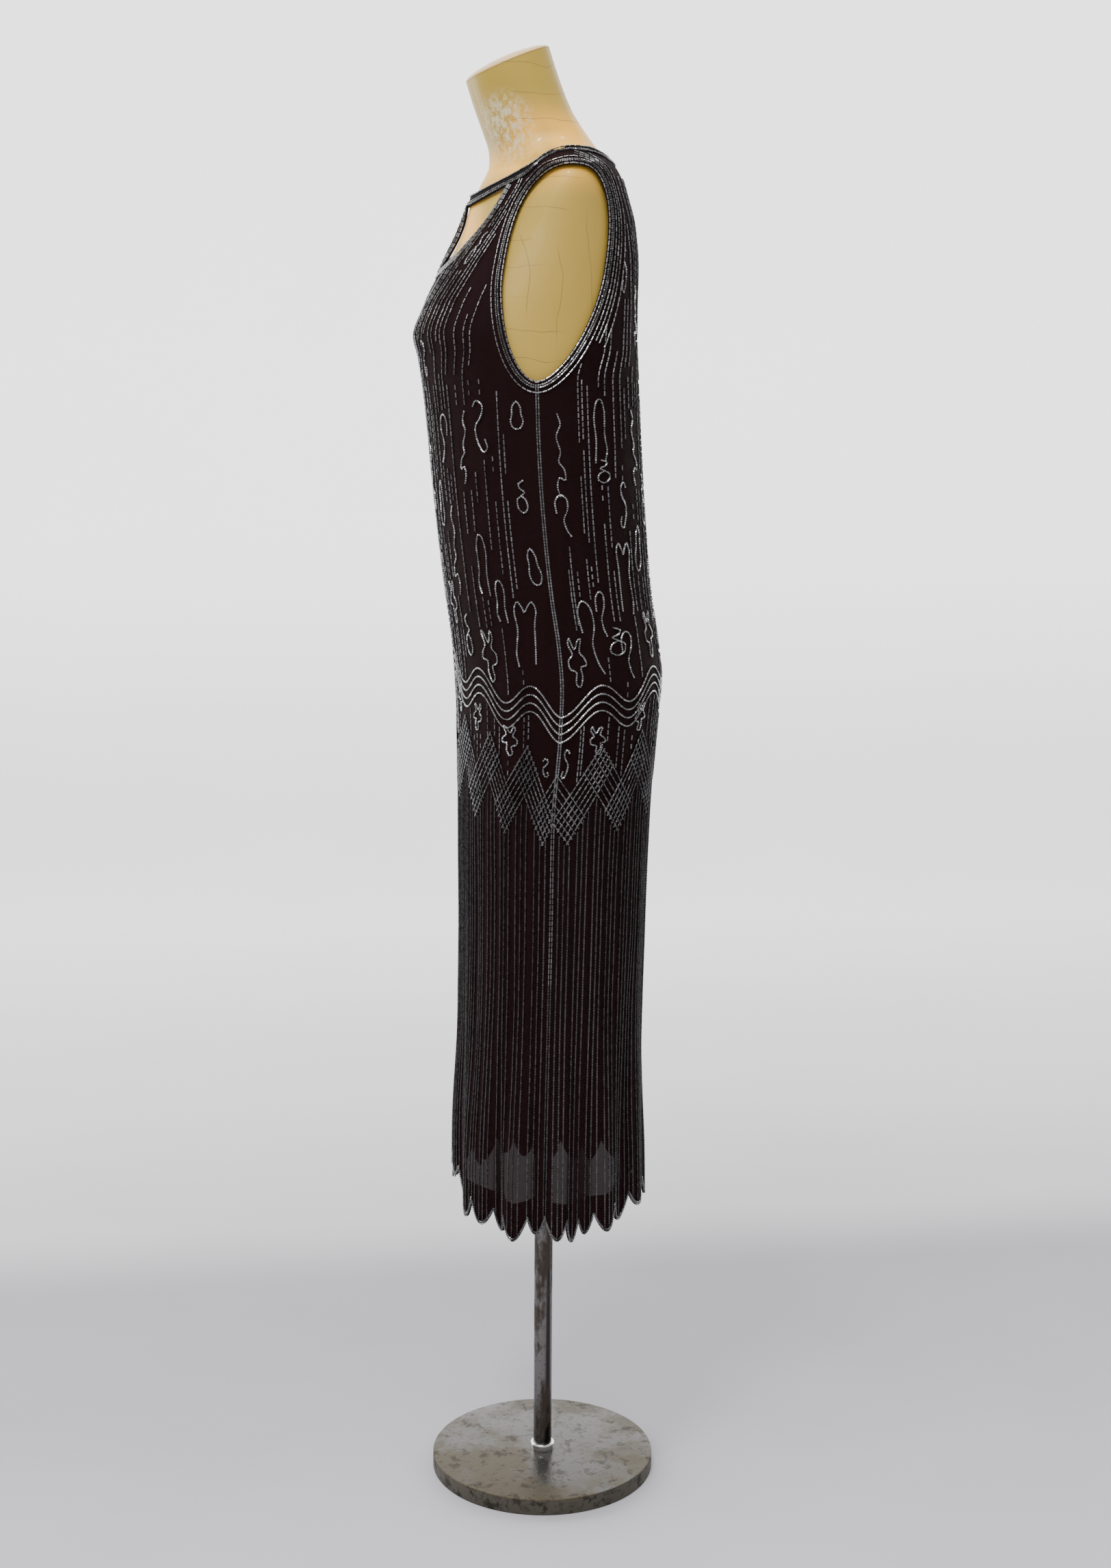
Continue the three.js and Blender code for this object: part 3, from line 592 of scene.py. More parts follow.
def armhole_edge(turn, back):
    """Angles and levels of the armhole: turn -1 is underarm, 1 the shoulder."""
    swing = np.asarray(turn, float) * RIGHT_ANGLE
    power = np.where(swing < 0, LOWER_ROUND, UPPER_ROUND)
    climb = np.sin(swing)
    z = ARMHOLE_MIDDLE + ARMHOLE_HALF * climb
    breadth = ARMHOLE_BREADTH * (1 - np.abs(climb) ** power) ** (1 / power)
    centre = ARMHOLE_CENTRE + ARMHOLE_LEAN * (z - ARMHOLE_MIDDLE)
    target = centre + breadth if back else centre - breadth
    section = section_at(z)
    near = np.full(z.shape, RIGHT_ANGLE)
    far = np.full(z.shape, math.pi if back else 0.0)
    for _ in range(40):
        middle = (near + far) / 2
        y = section_point(section, middle)[1]
        short = y < target if back else y > target
        near, far = np.where(short, middle, near), np.where(short, far, middle)
    middle = (near + far) / 2
    seam = np.maximum if back else np.minimum
    return seam(middle, RIGHT_ANGLE), z


print("armhole:", UNDERARM, "to", SHOULDER_TIP, "mm")

# %% [markdown]
# ## Cutting the panels
#
# The dress has one front and one back, sewn at the sides and shoulders. Below
# the arm a panel is a grid of levels and angles. Above it the grid is spread
# between four edges: the underarm level, the armhole, the shoulder seam, and
# the centre line, V and neckline. Lines of that grid fan out from the shoulder,
# as the cloth hangs from it.

# %% Grids
CENTRE_LEVELS = (1364, 1392, 1417, 1452, V_BOTTOM)
V_TURN, JOIN_TURN, TOP_REACH = -0.28, 0.45, 4


def spread(bottom, top, inner, outer):
    """A grid between four edges, each a pair of angles and levels."""
    columns, rows = len(bottom[0]), len(inner[0])
    s, t = np.linspace(0, 1, columns)[None, :], np.linspace(0, 1, rows)[:, None]
    grid = []
    for b, u, i, o in zip(bottom, top, inner, outer):
        sides = i[:, None] * (1 - s) + o[:, None] * s
        bottom_bow = b[None, :] - (b[0] * (1 - s) + b[-1] * s)
        top_bow = u[None, :] - (u[0] * (1 - s) + u[-1] * s)
        grid.append(sides + bottom_bow * (1 - t) + top_bow * t**TOP_REACH)
    return grid


STEPS_PER_PETAL = 12
YOKE_ROWS = {"centre": 16, "v": 24, "neck": 16, "back": 40}
SKIRT_LEVELS = np.concatenate([np.arange(351, 480, 6.0), np.linspace(480, UNDERARM, 76)])
HEM_FADE = 260.0


def half_panel(panel, back):
    """The grid of half a panel below the arm, from its centre out to its side."""
    petals = len(panel["rows"])
    steps = np.arange(petals * STEPS_PER_PETAL + 1) / STEPS_PER_PETAL
    turned = np.interp(steps, np.arange(petals + 1), panel["edges"])
    angles = math.pi - turned if back else turned
    angles[-1] = RIGHT_ANGLE
    edge = petal_shape(angles)[1]
    lowest = SKIRT_LEVELS[0]
    fade = 1 - soft_step((SKIRT_LEVELS - lowest) / HEM_FADE)
    z = SKIRT_LEVELS[:, None] + fade[:, None] * (edge - lowest)[None, :]
    return np.broadcast_to(angles, z.shape), z


def front_yoke(columns):
    turns, rows = [], YOKE_ROWS
    t = [np.linspace(0, 1, rows[k] + 1) for k in ("centre", "v", "neck")]
    neck_point = below_band(np.array(RIGHT_ANGLE))
    top_z = np.linspace(neck_point, SHOULDER_TIP, len(columns))
    centre_z = np.interp(t[0], np.linspace(0, 1, len(CENTRE_LEVELS)), CENTRE_LEVELS)
    neck_angles = BAND_JOIN + (RIGHT_ANGLE - BAND_JOIN) * t[2][1:]
    inner = (
        np.concatenate([0 * t[0], BAND_JOIN * t[1][1:], neck_angles]),
        np.concatenate([centre_z, v_edge(BAND_JOIN * t[1][1:]), below_band(neck_angles)]),
    )
    stops = (-1.0, V_TURN, JOIN_TURN, 1.0)
    for i in range(3):
        turns.append(stops[i] + (stops[i + 1] - stops[i]) * t[i][min(i, 1) :])
    outer = armhole_edge(np.concatenate(turns), False)
    bottom = (columns, np.full(len(columns), float(UNDERARM)))
    top = (np.full(len(columns), RIGHT_ANGLE), top_z)
    outer[0][0], outer[1][0] = RIGHT_ANGLE, UNDERARM
    return spread(bottom, top, inner, outer)


SHOULDER_SHARE = 0.25  # the share of the back's top edge that is shoulder seam


def back_yoke(columns):
    t = np.linspace(0, 1, YOKE_ROWS["back"] + 1)
    count = len(columns)
    shoulder = int(count * SHOULDER_SHARE)
    neck_angles = np.linspace(math.pi, RIGHT_ANGLE, count - shoulder)
    seam_z = np.linspace(below_band(np.array(RIGHT_ANGLE)), SHOULDER_TIP, shoulder + 1)
    top = (
        np.concatenate([neck_angles, np.full(shoulder, RIGHT_ANGLE)]),
        np.concatenate([below_band(neck_angles), seam_z[1:]]),
    )
    inner = (np.full(len(t), math.pi), UNDERARM + (top[1][0] - UNDERARM) * t)
    outer = armhole_edge(2 * t - 1, True)
    outer[0][0], outer[1][0] = RIGHT_ANGLE, UNDERARM
    bottom = (columns, np.full(count, float(UNDERARM)))
    return spread(bottom, top, inner, outer)


front_skirt, back_skirt = half_panel(FRONT, False), half_panel(BACK, True)
front_top, back_top = front_yoke(front_skirt[0][0]), back_yoke(back_skirt[0][0])
print("front grid:", front_skirt[0].shape, front_top[0].shape)

# %% [markdown]
# ## From grids to meshes
#
# Half a panel is mirrored to make the whole one, and grids that share an edge
# are welded there. Modifiers are made into plain meshes.


# %% Meshes from grids
def mirrored(grid, centre):
    return 2 * centre - grid[0][:, ::-1], grid[1][:, ::-1]


def in_order(grid):
    return (grid[0][:, ::-1], grid[1][:, ::-1]) if grid[0][0, 0] > grid[0][0, -1] else grid


def both_halves(grid, centre):
    halves = [in_order(grid), in_order(mirrored(grid, centre))]
    halves.sort(key=lambda half: half[0][0, 0])
    return [np.concatenate([a[:, :-1], b], axis=1) for a, b in zip(*halves)]


def quads_over(shape, first=0):
    """Quads over a grid of points that are numbered from first."""
    number = first + np.arange(shape[0] * shape[1]).reshape(shape)
    corners = number[:-1, :-1], number[:-1, 1:], number[1:, 1:], number[1:, :-1]
    return np.stack(corners, -1).reshape(-1, 4)


def welded(blocks):
    """The places of some grids, and quads over them with shared corners."""
    places, quads, count = [], [], 0
    for angle, z in blocks:
        quads.append(quads_over(angle.shape, count))
        places.append(np.stack([angle.ravel(), z.ravel()], 1))
        count += angle.size
    places = np.concatenate(places)
    rounded = np.round(places * [1e5, 1e3])
    _, first, same = np.unique(rounded, axis=0, return_index=True, return_inverse=True)
    return places[first], same.ravel()[np.concatenate(quads)]


def new_object(name, points, faces=(), edges=()):
    """A smooth mesh object from points in millimetres."""
    mesh = bpy.data.meshes.new(name)
    mesh.from_pydata((np.asarray(points) * MM).tolist(), edges, faces)
    mesh.validate()
    mesh.shade_smooth()
    obj = bpy.data.objects.new(name, mesh)
    bpy.context.scene.collection.objects.link(obj)
    return obj


def made_plain(obj):
    """Turns an object's modifiers into its mesh."""
    graph = bpy.context.evaluated_depsgraph_get()
    old, plain = obj.data, bpy.data.meshes.new_from_object(obj.evaluated_get(graph))
    obj.modifiers.clear()
    obj.data = plain
    plain.name = obj.name
    bpy.data.meshes.remove(old)
    return obj


# %% [markdown]
# ## Sewing the panels
#
# The cloth is a thin shell a little inside the CAD model's outer face, which
# leaves room for the beads. A Solidify modifier gives it a wall. Each point keeps
# its place on the cloth in an attribute, which the weave follows, and how deep it
# lies in a fold, where two layers look darker.

# %% Cloth panels
CLOTH_RADIUS = 0.14  # metres of cloth to a radian, near enough for the weave
FOLD_DEPTH = 5.0


def walled(name, points, quads, on_cloth, thickness):
    """A wall of cloth. Each point keeps its place on the cloth and how folded it is."""
    obj = new_object(name, points, quads)
    kept = obj.data.attributes.new("cloth", "FLOAT_VECTOR", "POINT")
    kept.data.foreach_set("vector", on_cloth.astype(np.float32).ravel())
    wall = obj.modifiers.new("wall", "SOLIDIFY")
    wall.thickness, wall.offset = thickness * MM, -1
    return made_plain(obj)


def cloth(name, blocks, thickness, inset):
    """A thin wall on the dress's form, a given way inside its outer face."""
    places, quads = welded(blocks)
    angle, z = places.T
    points = dress(angle, z) - inset * normals(angle, z)
    growth = soft_step((FLUTE_TOP - z) / (FLUTE_TOP - FLUTE_FULL))
    fold = np.clip(-petal_shape(angle)[2] / FOLD_DEPTH, 0, 1) * growth
    on_cloth = np.stack([angle * CLOTH_RADIUS, z * MM, fold], 1)
    return walled(name, points, quads.tolist(), on_cloth, thickness)


CHIFFON, FACING, BAND_CLOTH, STRAP_CLOTH = 0.8, 0.7, 1.2, 2.0
UNDER_BEADS, FACING_DEPTH, FACING_HEIGHT = 0.9, 2.1, 47.0
V_ROW = YOKE_ROWS["centre"]


def rows_of(grid, start, stop=None):
    return grid[0][start:stop], grid[1][start:stop]


def stacked(lower, upper):
    return [np.concatenate([a, b]) for a, b in zip(lower, upper)]


strap_side = rows_of(front_top, V_ROW)
front_body = both_halves(stacked(front_skirt, rows_of(front_top, 1, V_ROW + 1)), 0.0)
front = cloth(
    "dress_front_cloth",
    [front_body, strap_side, mirrored(strap_side, 0.0)],
    CHIFFON,
    UNDER_BEADS,
)
back_body = both_halves(stacked(back_skirt, rows_of(back_top, 1)), math.pi)
back = cloth("dress_back_cloth", [back_body], CHIFFON, UNDER_BEADS)
print("front cloth:", len(front.data.polygons), "faces")

# %% [markdown]
# ## Facing, neck band and strap
#
# A facing is a strip of close silk sewn inside the hem, and its nearly straight top
# edge shows through the chiffon. The neck band bridges the V, and a narrow strap joins
# the two and turns a little to the side as it hangs free.

# %% Facings, band and strap
FACING_ROWS, BAND_ROWS, BAND_COLUMNS = 9, 5, 181


def facing_grid(body):
    """A strip from the hem's edge up to the facing's nearly straight top."""
    angle = body[0][0]
    level, edge, _ = petal_shape(angle)
    t = np.linspace(0, 1, FACING_ROWS)[:, None]
    z = edge * (1 - t) + (level + FACING_HEIGHT) * t
    return np.broadcast_to(angle, z.shape), z


facings = [
    cloth(f"hem_facing_{side}_cloth", [facing_grid(body)], FACING, FACING_DEPTH)
    for side, body in (("front", front_body), ("back", back_body))
]


def band_grid():
    angle = np.radians(np.linspace(0, 360, BAND_COLUMNS))
    angle[-1] = 0.0
    low = below_band(angle)
    t = np.linspace(0, 1, BAND_ROWS)[:, None]
    z = low * (1 - t) + band_top(angle) * t
    return np.broadcast_to(angle, z.shape), z


neck_band = cloth("neck_band_cloth", [band_grid()], BAND_CLOTH, UNDER_BEADS / 2)

STRAP_HALF, STRAP_TURN, STRAP_SINK = 4.5, math.radians(40), 1.5
STRAP_FOOT, STRAP_HEAD = V_BOTTOM + 1.0, below_band(np.array(0.0))


def strap_point(t, across, out):
    """A point of the centre strap, whose middle is turned to the side."""
    t, across, out = np.broadcast_arrays(*[np.asarray(v, float) for v in (t, across, out)])
    bow = np.sin(math.pi * t)
    turn = STRAP_TURN * bow
    middle = dress(0 * t, STRAP_FOOT + (STRAP_HEAD - STRAP_FOOT) * t)
    middle[..., 1] += STRAP_CLOTH / 2 + STRAP_SINK * bow
    wide = np.stack([np.cos(turn), np.sin(turn), 0 * t], -1)
    outward = np.stack([np.sin(turn), -np.cos(turn), 0 * t], -1)
    return middle + wide * across[..., None] + outward * out[..., None]


STRAP_ROWS, STRAP_COLUMNS = 24, 7
STRAP_LENGTH = 0.07  # metres
strap_t = np.linspace(0, 1, STRAP_ROWS)[:, None]
strap_x = STRAP_HALF * np.linspace(-1, 1, STRAP_COLUMNS)[None, :]
strap_face = strap_point(strap_t, strap_x, STRAP_CLOTH / 2)
flat = 0 * strap_face[..., 0]
strap_places = [strap_x * MM + flat, strap_t * STRAP_LENGTH + flat, flat]
strap = walled(
    "centre_strap_cloth",
    strap_face.reshape(-1, 3),
    quads_over(strap_face.shape[:2]).tolist(),
    np.stack(strap_places, -1).reshape(-1, 3),
    STRAP_CLOTH,
)
print("strap:", len(strap.data.polygons), "faces")

# %% [markdown]
# ## Chiffon
#
# Chiffon is so open that the lacquer of the form shows through it and warms it
# to a brown, while the skirt, with nothing behind it, looks black. The surface
# is therefore part clear. Two faces make one wall, so each lets through the
# square root of what the cloth does.


# %% Cloth materials
def on_cloth(wire, axis):
    place = wire.node("ShaderNodeAttribute", {}, output="Vector", attribute_name="cloth")
    return wire.node("ShaderNodeSeparateXYZ", {"Vector": place}, output=axis)


def weave(wire, fine):
    """Threads both ways, from the place that each point keeps on the cloth."""
    warp = wire.maths("SINE", on_cloth(wire, "X") * fine)
    weft = wire.maths("SINE", on_cloth(wire, "Y") * fine)
    return warp * 0.25 + weft * 0.25 + 0.5


WINE = (0.0055, 0.0017, 0.0021), (0.016, 0.0056, 0.0062)
BLACK = (0.0065, 0.0016, 0.0020), (0.016, 0.0055, 0.0062)
HIP_LOW, HIP_HIGH = 0.85, 1.12  # metres; the cloth turns from black to wine between them
SILK = (0.003, 0.002, 0.0025), (0.010, 0.007, 0.0075)
CHIFFON_FINE, SILK_FINE = 4200.0, 3600.0


def chiffon_paint(wire):
    threads = weave(wire, CHIFFON_FINE)
    streaks = noise(wire, 55.0, 3.0, (1, 1, 0.06))
    slubs = noise(wire, 14.0, 2.0)
    tone = streaks * 0.6 + threads * 0.25 + slubs * 0.25
    wine, black = tone.mix(*WINE), tone.mix(*BLACK)
    return {
        "Base Color": axis_of(wire, "Z").step(HIP_LOW, HIP_HIGH).mix(black, wine),
        "Roughness": 0.85,
        "Specular IOR Level": 0.06,
        "Alpha": 0.81 + threads * 0.07 + on_cloth(wire, "Z") * 0.12,
        "Normal": bump(wire, threads, 0.15, 0.0004),
    }


def facing_paint(wire):
    threads = weave(wire, SILK_FINE)
    cloud = noise(wire, 20.0)
    tone = threads * 0.5 + cloud * 0.5
    return {
        "Base Color": tone.mix(*SILK),
        "Roughness": 0.8,
        "Specular IOR Level": 0.1,
        "Normal": bump(wire, threads, 0.2, 0.0004),
    }


chiffon, black_silk = finish("chiffon", chiffon_paint), finish("black_silk", facing_paint)
dress_object(front, "dress_front", chiffon)
dress_object(back, "dress_back", chiffon)
for side, obj in zip(("front", "back"), facings):
    dress_object(obj, f"hem_facing_{side}", black_silk)
dress_object(neck_band, "neck_band", black_silk)
dress_object(strap, "centre_strap", black_silk)
print("cloth finishes:", chiffon.name, black_silk.name)

# %% [markdown]
# ## The form
#
# The form is papier-mache, moulded in halves and lacquered. It is lofted here
# through rings, like the CAD model but finer, so that its gloss runs smoothly.
# The neck ends in a domed cap with a joint line round its rim.

# %% Form shape
ROUND_STEPS, NECK_RINGS, FORM_DROP, FORM_CLEAR = 128, 26, 3.8, 5.2
KEYHOLE_LOW, KEYHOLE_HIGH, KEYHOLE_FILL = 1532, 1585, 2.4  # the form fills the V a little
LOW_FADE, HIGH_FADE = 26, 20
SHOULDER_SOFT, SHOULDER_PASSES = (1608, 1664), 16  # where the neck runs into the shoulders
FOOT_LEVELS, WAIST_LEVELS = [880, 883, 887, 892], np.arange(900, 1364, 12)
UPPER_LEVELS = np.concatenate([np.arange(1364, 1580, 9.0), np.arange(1580, 1621, 4.0)])
FORM_LOWER = np.array(
    [  # height, front, back, side, half width, hollow
        (880, -78, 96, 0, 132, -0.05),
        (892, -90, 108, 0, 146, -0.05),
        (930, -97, 119, 0, 156, -0.05),
        (1018, -103, 131, 0, 161, -0.05),
        (1080, -106, 120, -2, 153, -0.05),
        (1140, -106, 101, -6, 133, -0.04),
        (1195, -107, 90, -12, 121, -0.03),
        (1260, -117, 89, -20, 124, -0.02),
        (1320, -132, 96, -28, 138, -0.01),
    ]
)
NECK = np.array(
    [  # front height, back height, front, back, side, half width
        (1630, 1630, -70.5, 56.5, 4, 58),
        (1641, 1646, -75.5, 43, -8, 55),
        (1657, 1666, -81.5, 29, -20, 53.5),
        (1676, 1691, -88.5, 17, -32, 52),
        (1694, 1720, -94.5, 6, -42, 51.5),
        (1704, 1744, -97.5, -2, -48, 51),
    ]
)
CAP = [(0.985, -0.4), (0.985, 0.9), (0.955, 2.3), (0.8, 5.2), (0.5, 7.8), (0.22, 8.9)]
POLE_SOCKET, POLE_TOP = 11.8, 960.3
round_turns = np.linspace(0, 2 * math.pi, ROUND_STEPS, endpoint=False)


def form_ring(section, z_front, z_back):
    x, y, _ = section_point(section, round_turns)
    share = (y - section[0]) / (section[1] - section[0])
    return np.stack([x, y, z_front + (z_back - z_front) * share], -1)


def circle(radius, z):
    around = radius * np.sin(round_turns), -radius * np.cos(round_turns)
    return np.stack([*around, np.full(ROUND_STEPS, float(z))], -1)


def body_rings():
    """Rings from the foot to the shoulders, a little inside the dress from the underarm up."""
    rows = [(*row[1:], row[5], row[0]) for row in FORM_LOWER]
    for z in UPPER_LEVELS:
        front_y, back_y, seam, half, hollow_front, hollow_back = section_at(z + FORM_DROP)
        keyhole = KEYHOLE_FILL * soft_step((z - KEYHOLE_LOW) / LOW_FADE)
        keyhole *= soft_step((KEYHOLE_HIGH - z) / HIGH_FADE)
        inset = (front_y + FORM_CLEAR - keyhole, back_y - FORM_CLEAR, seam, half - FORM_CLEAR)
        rows.append((*inset, hollow_front, hollow_back, z))
    rows = np.array(rows)
    columns = [smooth_table(rows[:, 6], rows[:, i]) for i in range(6)]
    levels = np.concatenate([FOOT_LEVELS, WAIST_LEVELS, UPPER_LEVELS])
    return [form_ring([column(z) for column in columns], z, z) for z in levels]


def neck_rings():
    """Rings of the neck, which lean forward more and more."""
    columns = [smooth_table(np.arange(len(NECK)), NECK[:, i]) for i in range(6)]
    rings = []
    for at in np.linspace(0, len(NECK) - 1, NECK_RINGS):
        z_front, z_back, *section = [column(at) for column in columns]
        rings.append(form_ring([*section, 0.0, 0.0], z_front, z_back))
    return rings


def form_rings():
    """All rings of the form, from the pole's socket to the top of the cap."""
    socket = [circle(POLE_SOCKET, POLE_TOP), circle(POLE_SOCKET, FORM_LOWER[0, 0])]
    rings = np.array([*socket, *body_rings(), *neck_rings()])
    middle_z = rings.mean(axis=1)[:, 2]
    inner = np.flatnonzero((middle_z > SHOULDER_SOFT[0]) & (middle_z < SHOULDER_SOFT[1]))
    for _ in range(SHOULDER_PASSES):
        rings[inner] = (rings[inner - 1] + 2 * rings[inner] + rings[inner + 1]) / 4
    rim = rings[-1]
    axis = np.array([0, -(NECK[-1, 1] - NECK[-1, 0]), NECK[-1, 3] - NECK[-1, 2]])
    axis /= np.linalg.norm(axis)
    middle = rim.mean(axis=0)
    return [*rings, *[middle + (rim - middle) * share + axis * rise for share, rise in CAP]]


def lofted(name, rings):
    """A closed body through rings of points, its ends closed on their middles."""
    count, points = len(rings[0]), np.concatenate(rings)
    points = np.concatenate([points, [rings[0].mean(0), rings[-1].mean(0)]])
    number = np.arange(len(rings) * count).reshape(len(rings), count)
    after = np.roll(number, -1, axis=1)
    sides = np.stack([number[:-1], after[:-1], after[1:], number[1:]], -1).reshape(-1, 4)
    foot, head = len(points) - 2, len(points) - 1
    ends = [(b, a, foot) for a, b in zip(number[0], after[0])]
    ends += [(a, b, head) for a, b in zip(number[-1], after[-1])]
    faces = sides.tolist() + [[int(i) for i in end] for end in ends]
    return new_object(name, points, faces)


FORM_SHARP = math.radians(50)
form = lofted("form_body", form_rings())
form.data.set_sharp_from_angle(angle=FORM_SHARP)
print("form:", len(form.data.polygons), "faces")

# %% [markdown]
# ## The form's lacquer
#
# Old lacquer on paper is ochre, warmer where it is thin on shoulder and chest,
# and crazed with hairline cracks that wander and break off. At the base of the
# neck it has worn to a frosted patch. The cap is a paler coat of its own, above
# a dark joint line.

# %% Form lacquer
FROSTED, FROSTED_RADIUS = (0.047, -0.068, 1.648), 0.066
CAP_AXIS, CAP_FOOT = (0.386, 0.9225), 1.6090  # the cap's tilt, and where it starts along it
OCHRE = (0.355, 0.231, 0.040), (0.485, 0.328, 0.064)
PEACH, OLIVE, CREAM = (0.92, 0.48, 0.06), (0.405, 0.275, 0.042), (0.72, 0.50, 0.27)
JOINT, FROST, CRACK = (0.16, 0.09, 0.03), (0.74, 0.68, 0.50), (0.14, 0.085, 0.03)


def hairlines(wire, axis, spacing, wander):
    """Thin cracks across one axis, a given way apart, that wander and break off."""
    bent = axis_of(wire, axis) * (1 / spacing) + noise(wire, wander, 3.0) * 1.6
    off = wire.maths("ABSOLUTE", wire.maths("FRACT", bent) - 0.5)
    return (1 - off.step(0.0, 0.022)) * noise(wire, wander * 1.7, 1.0).step(0.50, 0.60)


def peach_share(wire, height, forward):
    """Where the lacquer is warm: shoulder, chest, and the side of the neck's base."""
    side = forward.step(-0.072, -0.025)
    chest = (1 - forward.step(-0.10, -0.075)) * height.step(1.49, 1.54)
    starts = wire.maths("MAXIMUM", height.step(1.56, 1.62), chest)
    ends = wire.maths("MAXIMUM", height.step(1.64, 1.70), (1 - side) * height.step(1.60, 1.64))
    return starts * (1 - ends)


def frosted_share(wire, cloud):
    """Flakes of worn lacquer round one place."""
    ends = {0: place_of(wire), 1: FROSTED}
    off = wire.node("ShaderNodeVectorMath", ends, output="Value", operation="DISTANCE")
    flaked = noise(wire, 190.0, 8.0, (1, 1, 0.7), 0.75).step(0.45, 0.55)
    return (1 - (off + cloud * 0.03).step(0.5 * FROSTED_RADIUS, FROSTED_RADIUS)) * flaked


def lacquer_paint(wire):
    height, forward = axis_of(wire, "Z"), axis_of(wire, "Y")
    cloud, fine = noise(wire, 9.0, 4.0), noise(wire, 60.0, 4.0)
    peach = peach_share(wire, height, forward) * cloud.step(0.2, 0.45)
    olive = height.step(1.645, 1.70)
    colour = peach.mix(cloud.mix(*OCHRE), PEACH)
    colour = (olive * 0.8).mix(colour, OLIVE)
    slope = height * CAP_AXIS[1] - forward * CAP_AXIS[0]
    cap = slope.step(CAP_FOOT, CAP_FOOT + 0.0006)
    joint = slope.step(CAP_FOOT - 0.0012, CAP_FOOT - 0.0004) * (1 - cap)
    colour = (cap * 0.8).mix((joint * 0.5).mix(colour, JOINT), CREAM)
    level_cracks = hairlines(wire, "Z", 0.034, 7.0)
    cracks = wire.maths("MAXIMUM", level_cracks, hairlines(wire, "Y", 0.040, 5.0))
    worn = frosted_share(wire, cloud)
    colour = (cracks * 0.55).mix((worn * 0.7).mix(colour, FROST), CRACK)
    return {
        "Base Color": colour,
        "Roughness": 0.42 + worn * 0.3 + fine * 0.10,
        "Specular IOR Level": 0.22,
        "Coat Weight": 0.22 - worn * 0.18,
        "Coat Roughness": 0.05,
        "Normal": bump(wire, fine * 0.25 - cracks * 0.6 + worn * 0.4, 0.25, 0.0006),
    }


dress_object(form, "form_torso", finish("aged_lacquer", lacquer_paint))
print("form finish:", form.data.materials[0].name)

# %% [markdown]
# ## The stand
#
# A plated tube stands in a round steel plate, with a chrome collar where they
# meet. All three are turned shapes, so each is a short profile spun round.

# %% Stand shapes
TURNED_SHARP = math.radians(40)


def turned(name, profile):
    obj = lofted(name, [circle(radius, z) for radius, z in profile])
    obj.data.set_sharp_from_angle(angle=TURNED_SHARP)
    return obj


def rounded_corner(radius, z, edge, steps=5):
    """Points of an upper outer corner, rounded by edge."""
    swing = np.linspace(0, RIGHT_ANGLE, steps)
    return [
        (radius - edge + edge * math.cos(s), z - edge + edge * math.sin(s)) for s in swing
    ]


BASE_RADIUS, BASE_HEIGHT, BASE_EDGE, BASE_FOOT = 140.0, 20.0, 1.5, 1.0
POLE_RADIUS, POLE_FOOT, POLE_HEAD = 11.5, 6.3, 960.0
COLLAR_RADIUS, COLLAR_FOOT, COLLAR_HEAD, COLLAR_EDGE = 15.5, 20.3, 29.3, 2.5
SOCKET_RADIUS, SOCKET_FLOOR = 11.8, 6.0
base = turned(
    "base_plate",
    [(BASE_RADIUS - BASE_FOOT, 0), (BASE_RADIUS, BASE_FOOT)]
    + rounded_corner(BASE_RADIUS, BASE_HEIGHT, BASE_EDGE)
    + [(SOCKET_RADIUS, BASE_HEIGHT), (SOCKET_RADIUS, SOCKET_FLOOR)],
)
pole = turned("pole_tube", [(POLE_RADIUS, POLE_FOOT), (POLE_RADIUS, POLE_HEAD)])
collar = turned(
    "pole_collar",
    [(SOCKET_RADIUS, COLLAR_FOOT), (COLLAR_RADIUS, COLLAR_FOOT)]
    + rounded_corner(COLLAR_RADIUS, COLLAR_HEAD, COLLAR_EDGE)
    + [(SOCKET_RADIUS, COLLAR_HEAD)],
)
print("stand:", base.name, pole.name, collar.name)

# %% [markdown]
# ## The stand's finishes
#
# The plate is dark steel, polished once and now stained brown, most of all
# toward its edge, with rust spots and pits. The tube's plating carries upright
# streaks of painted dark reflection, and rust has come through. Only the collar
# still shines.

# %% Stand finishes
STEEL, STAIN, RUST_SPOT = (0.074, 0.071, 0.067), (0.060, 0.047, 0.024), (0.030, 0.022, 0.012)
RIM, RIM_SPOT, PIT = (0.060, 0.052, 0.039), (0.015, 0.012, 0.008), (0.03, 0.025, 0.02)
# Plating tones: the dark end is the painted reflection in the tube's streaks.
PLATING_WITH_PAINTED_REFLECTIONS = (0.028, 0.026, 0.025), (0.155, 0.148, 0.145)
TUBE_RUST, TUBE_PIT = (0.040, 0.027, 0.017), (0.04, 0.03, 0.025)
CHROME = (0.70, 0.70, 0.71), (0.80, 0.80, 0.80)
STAIN_FROM, STAIN_FULL, TOP_FROM, TOP_FULL = 0.080, 0.136, 0.0180, 0.0196  # metres


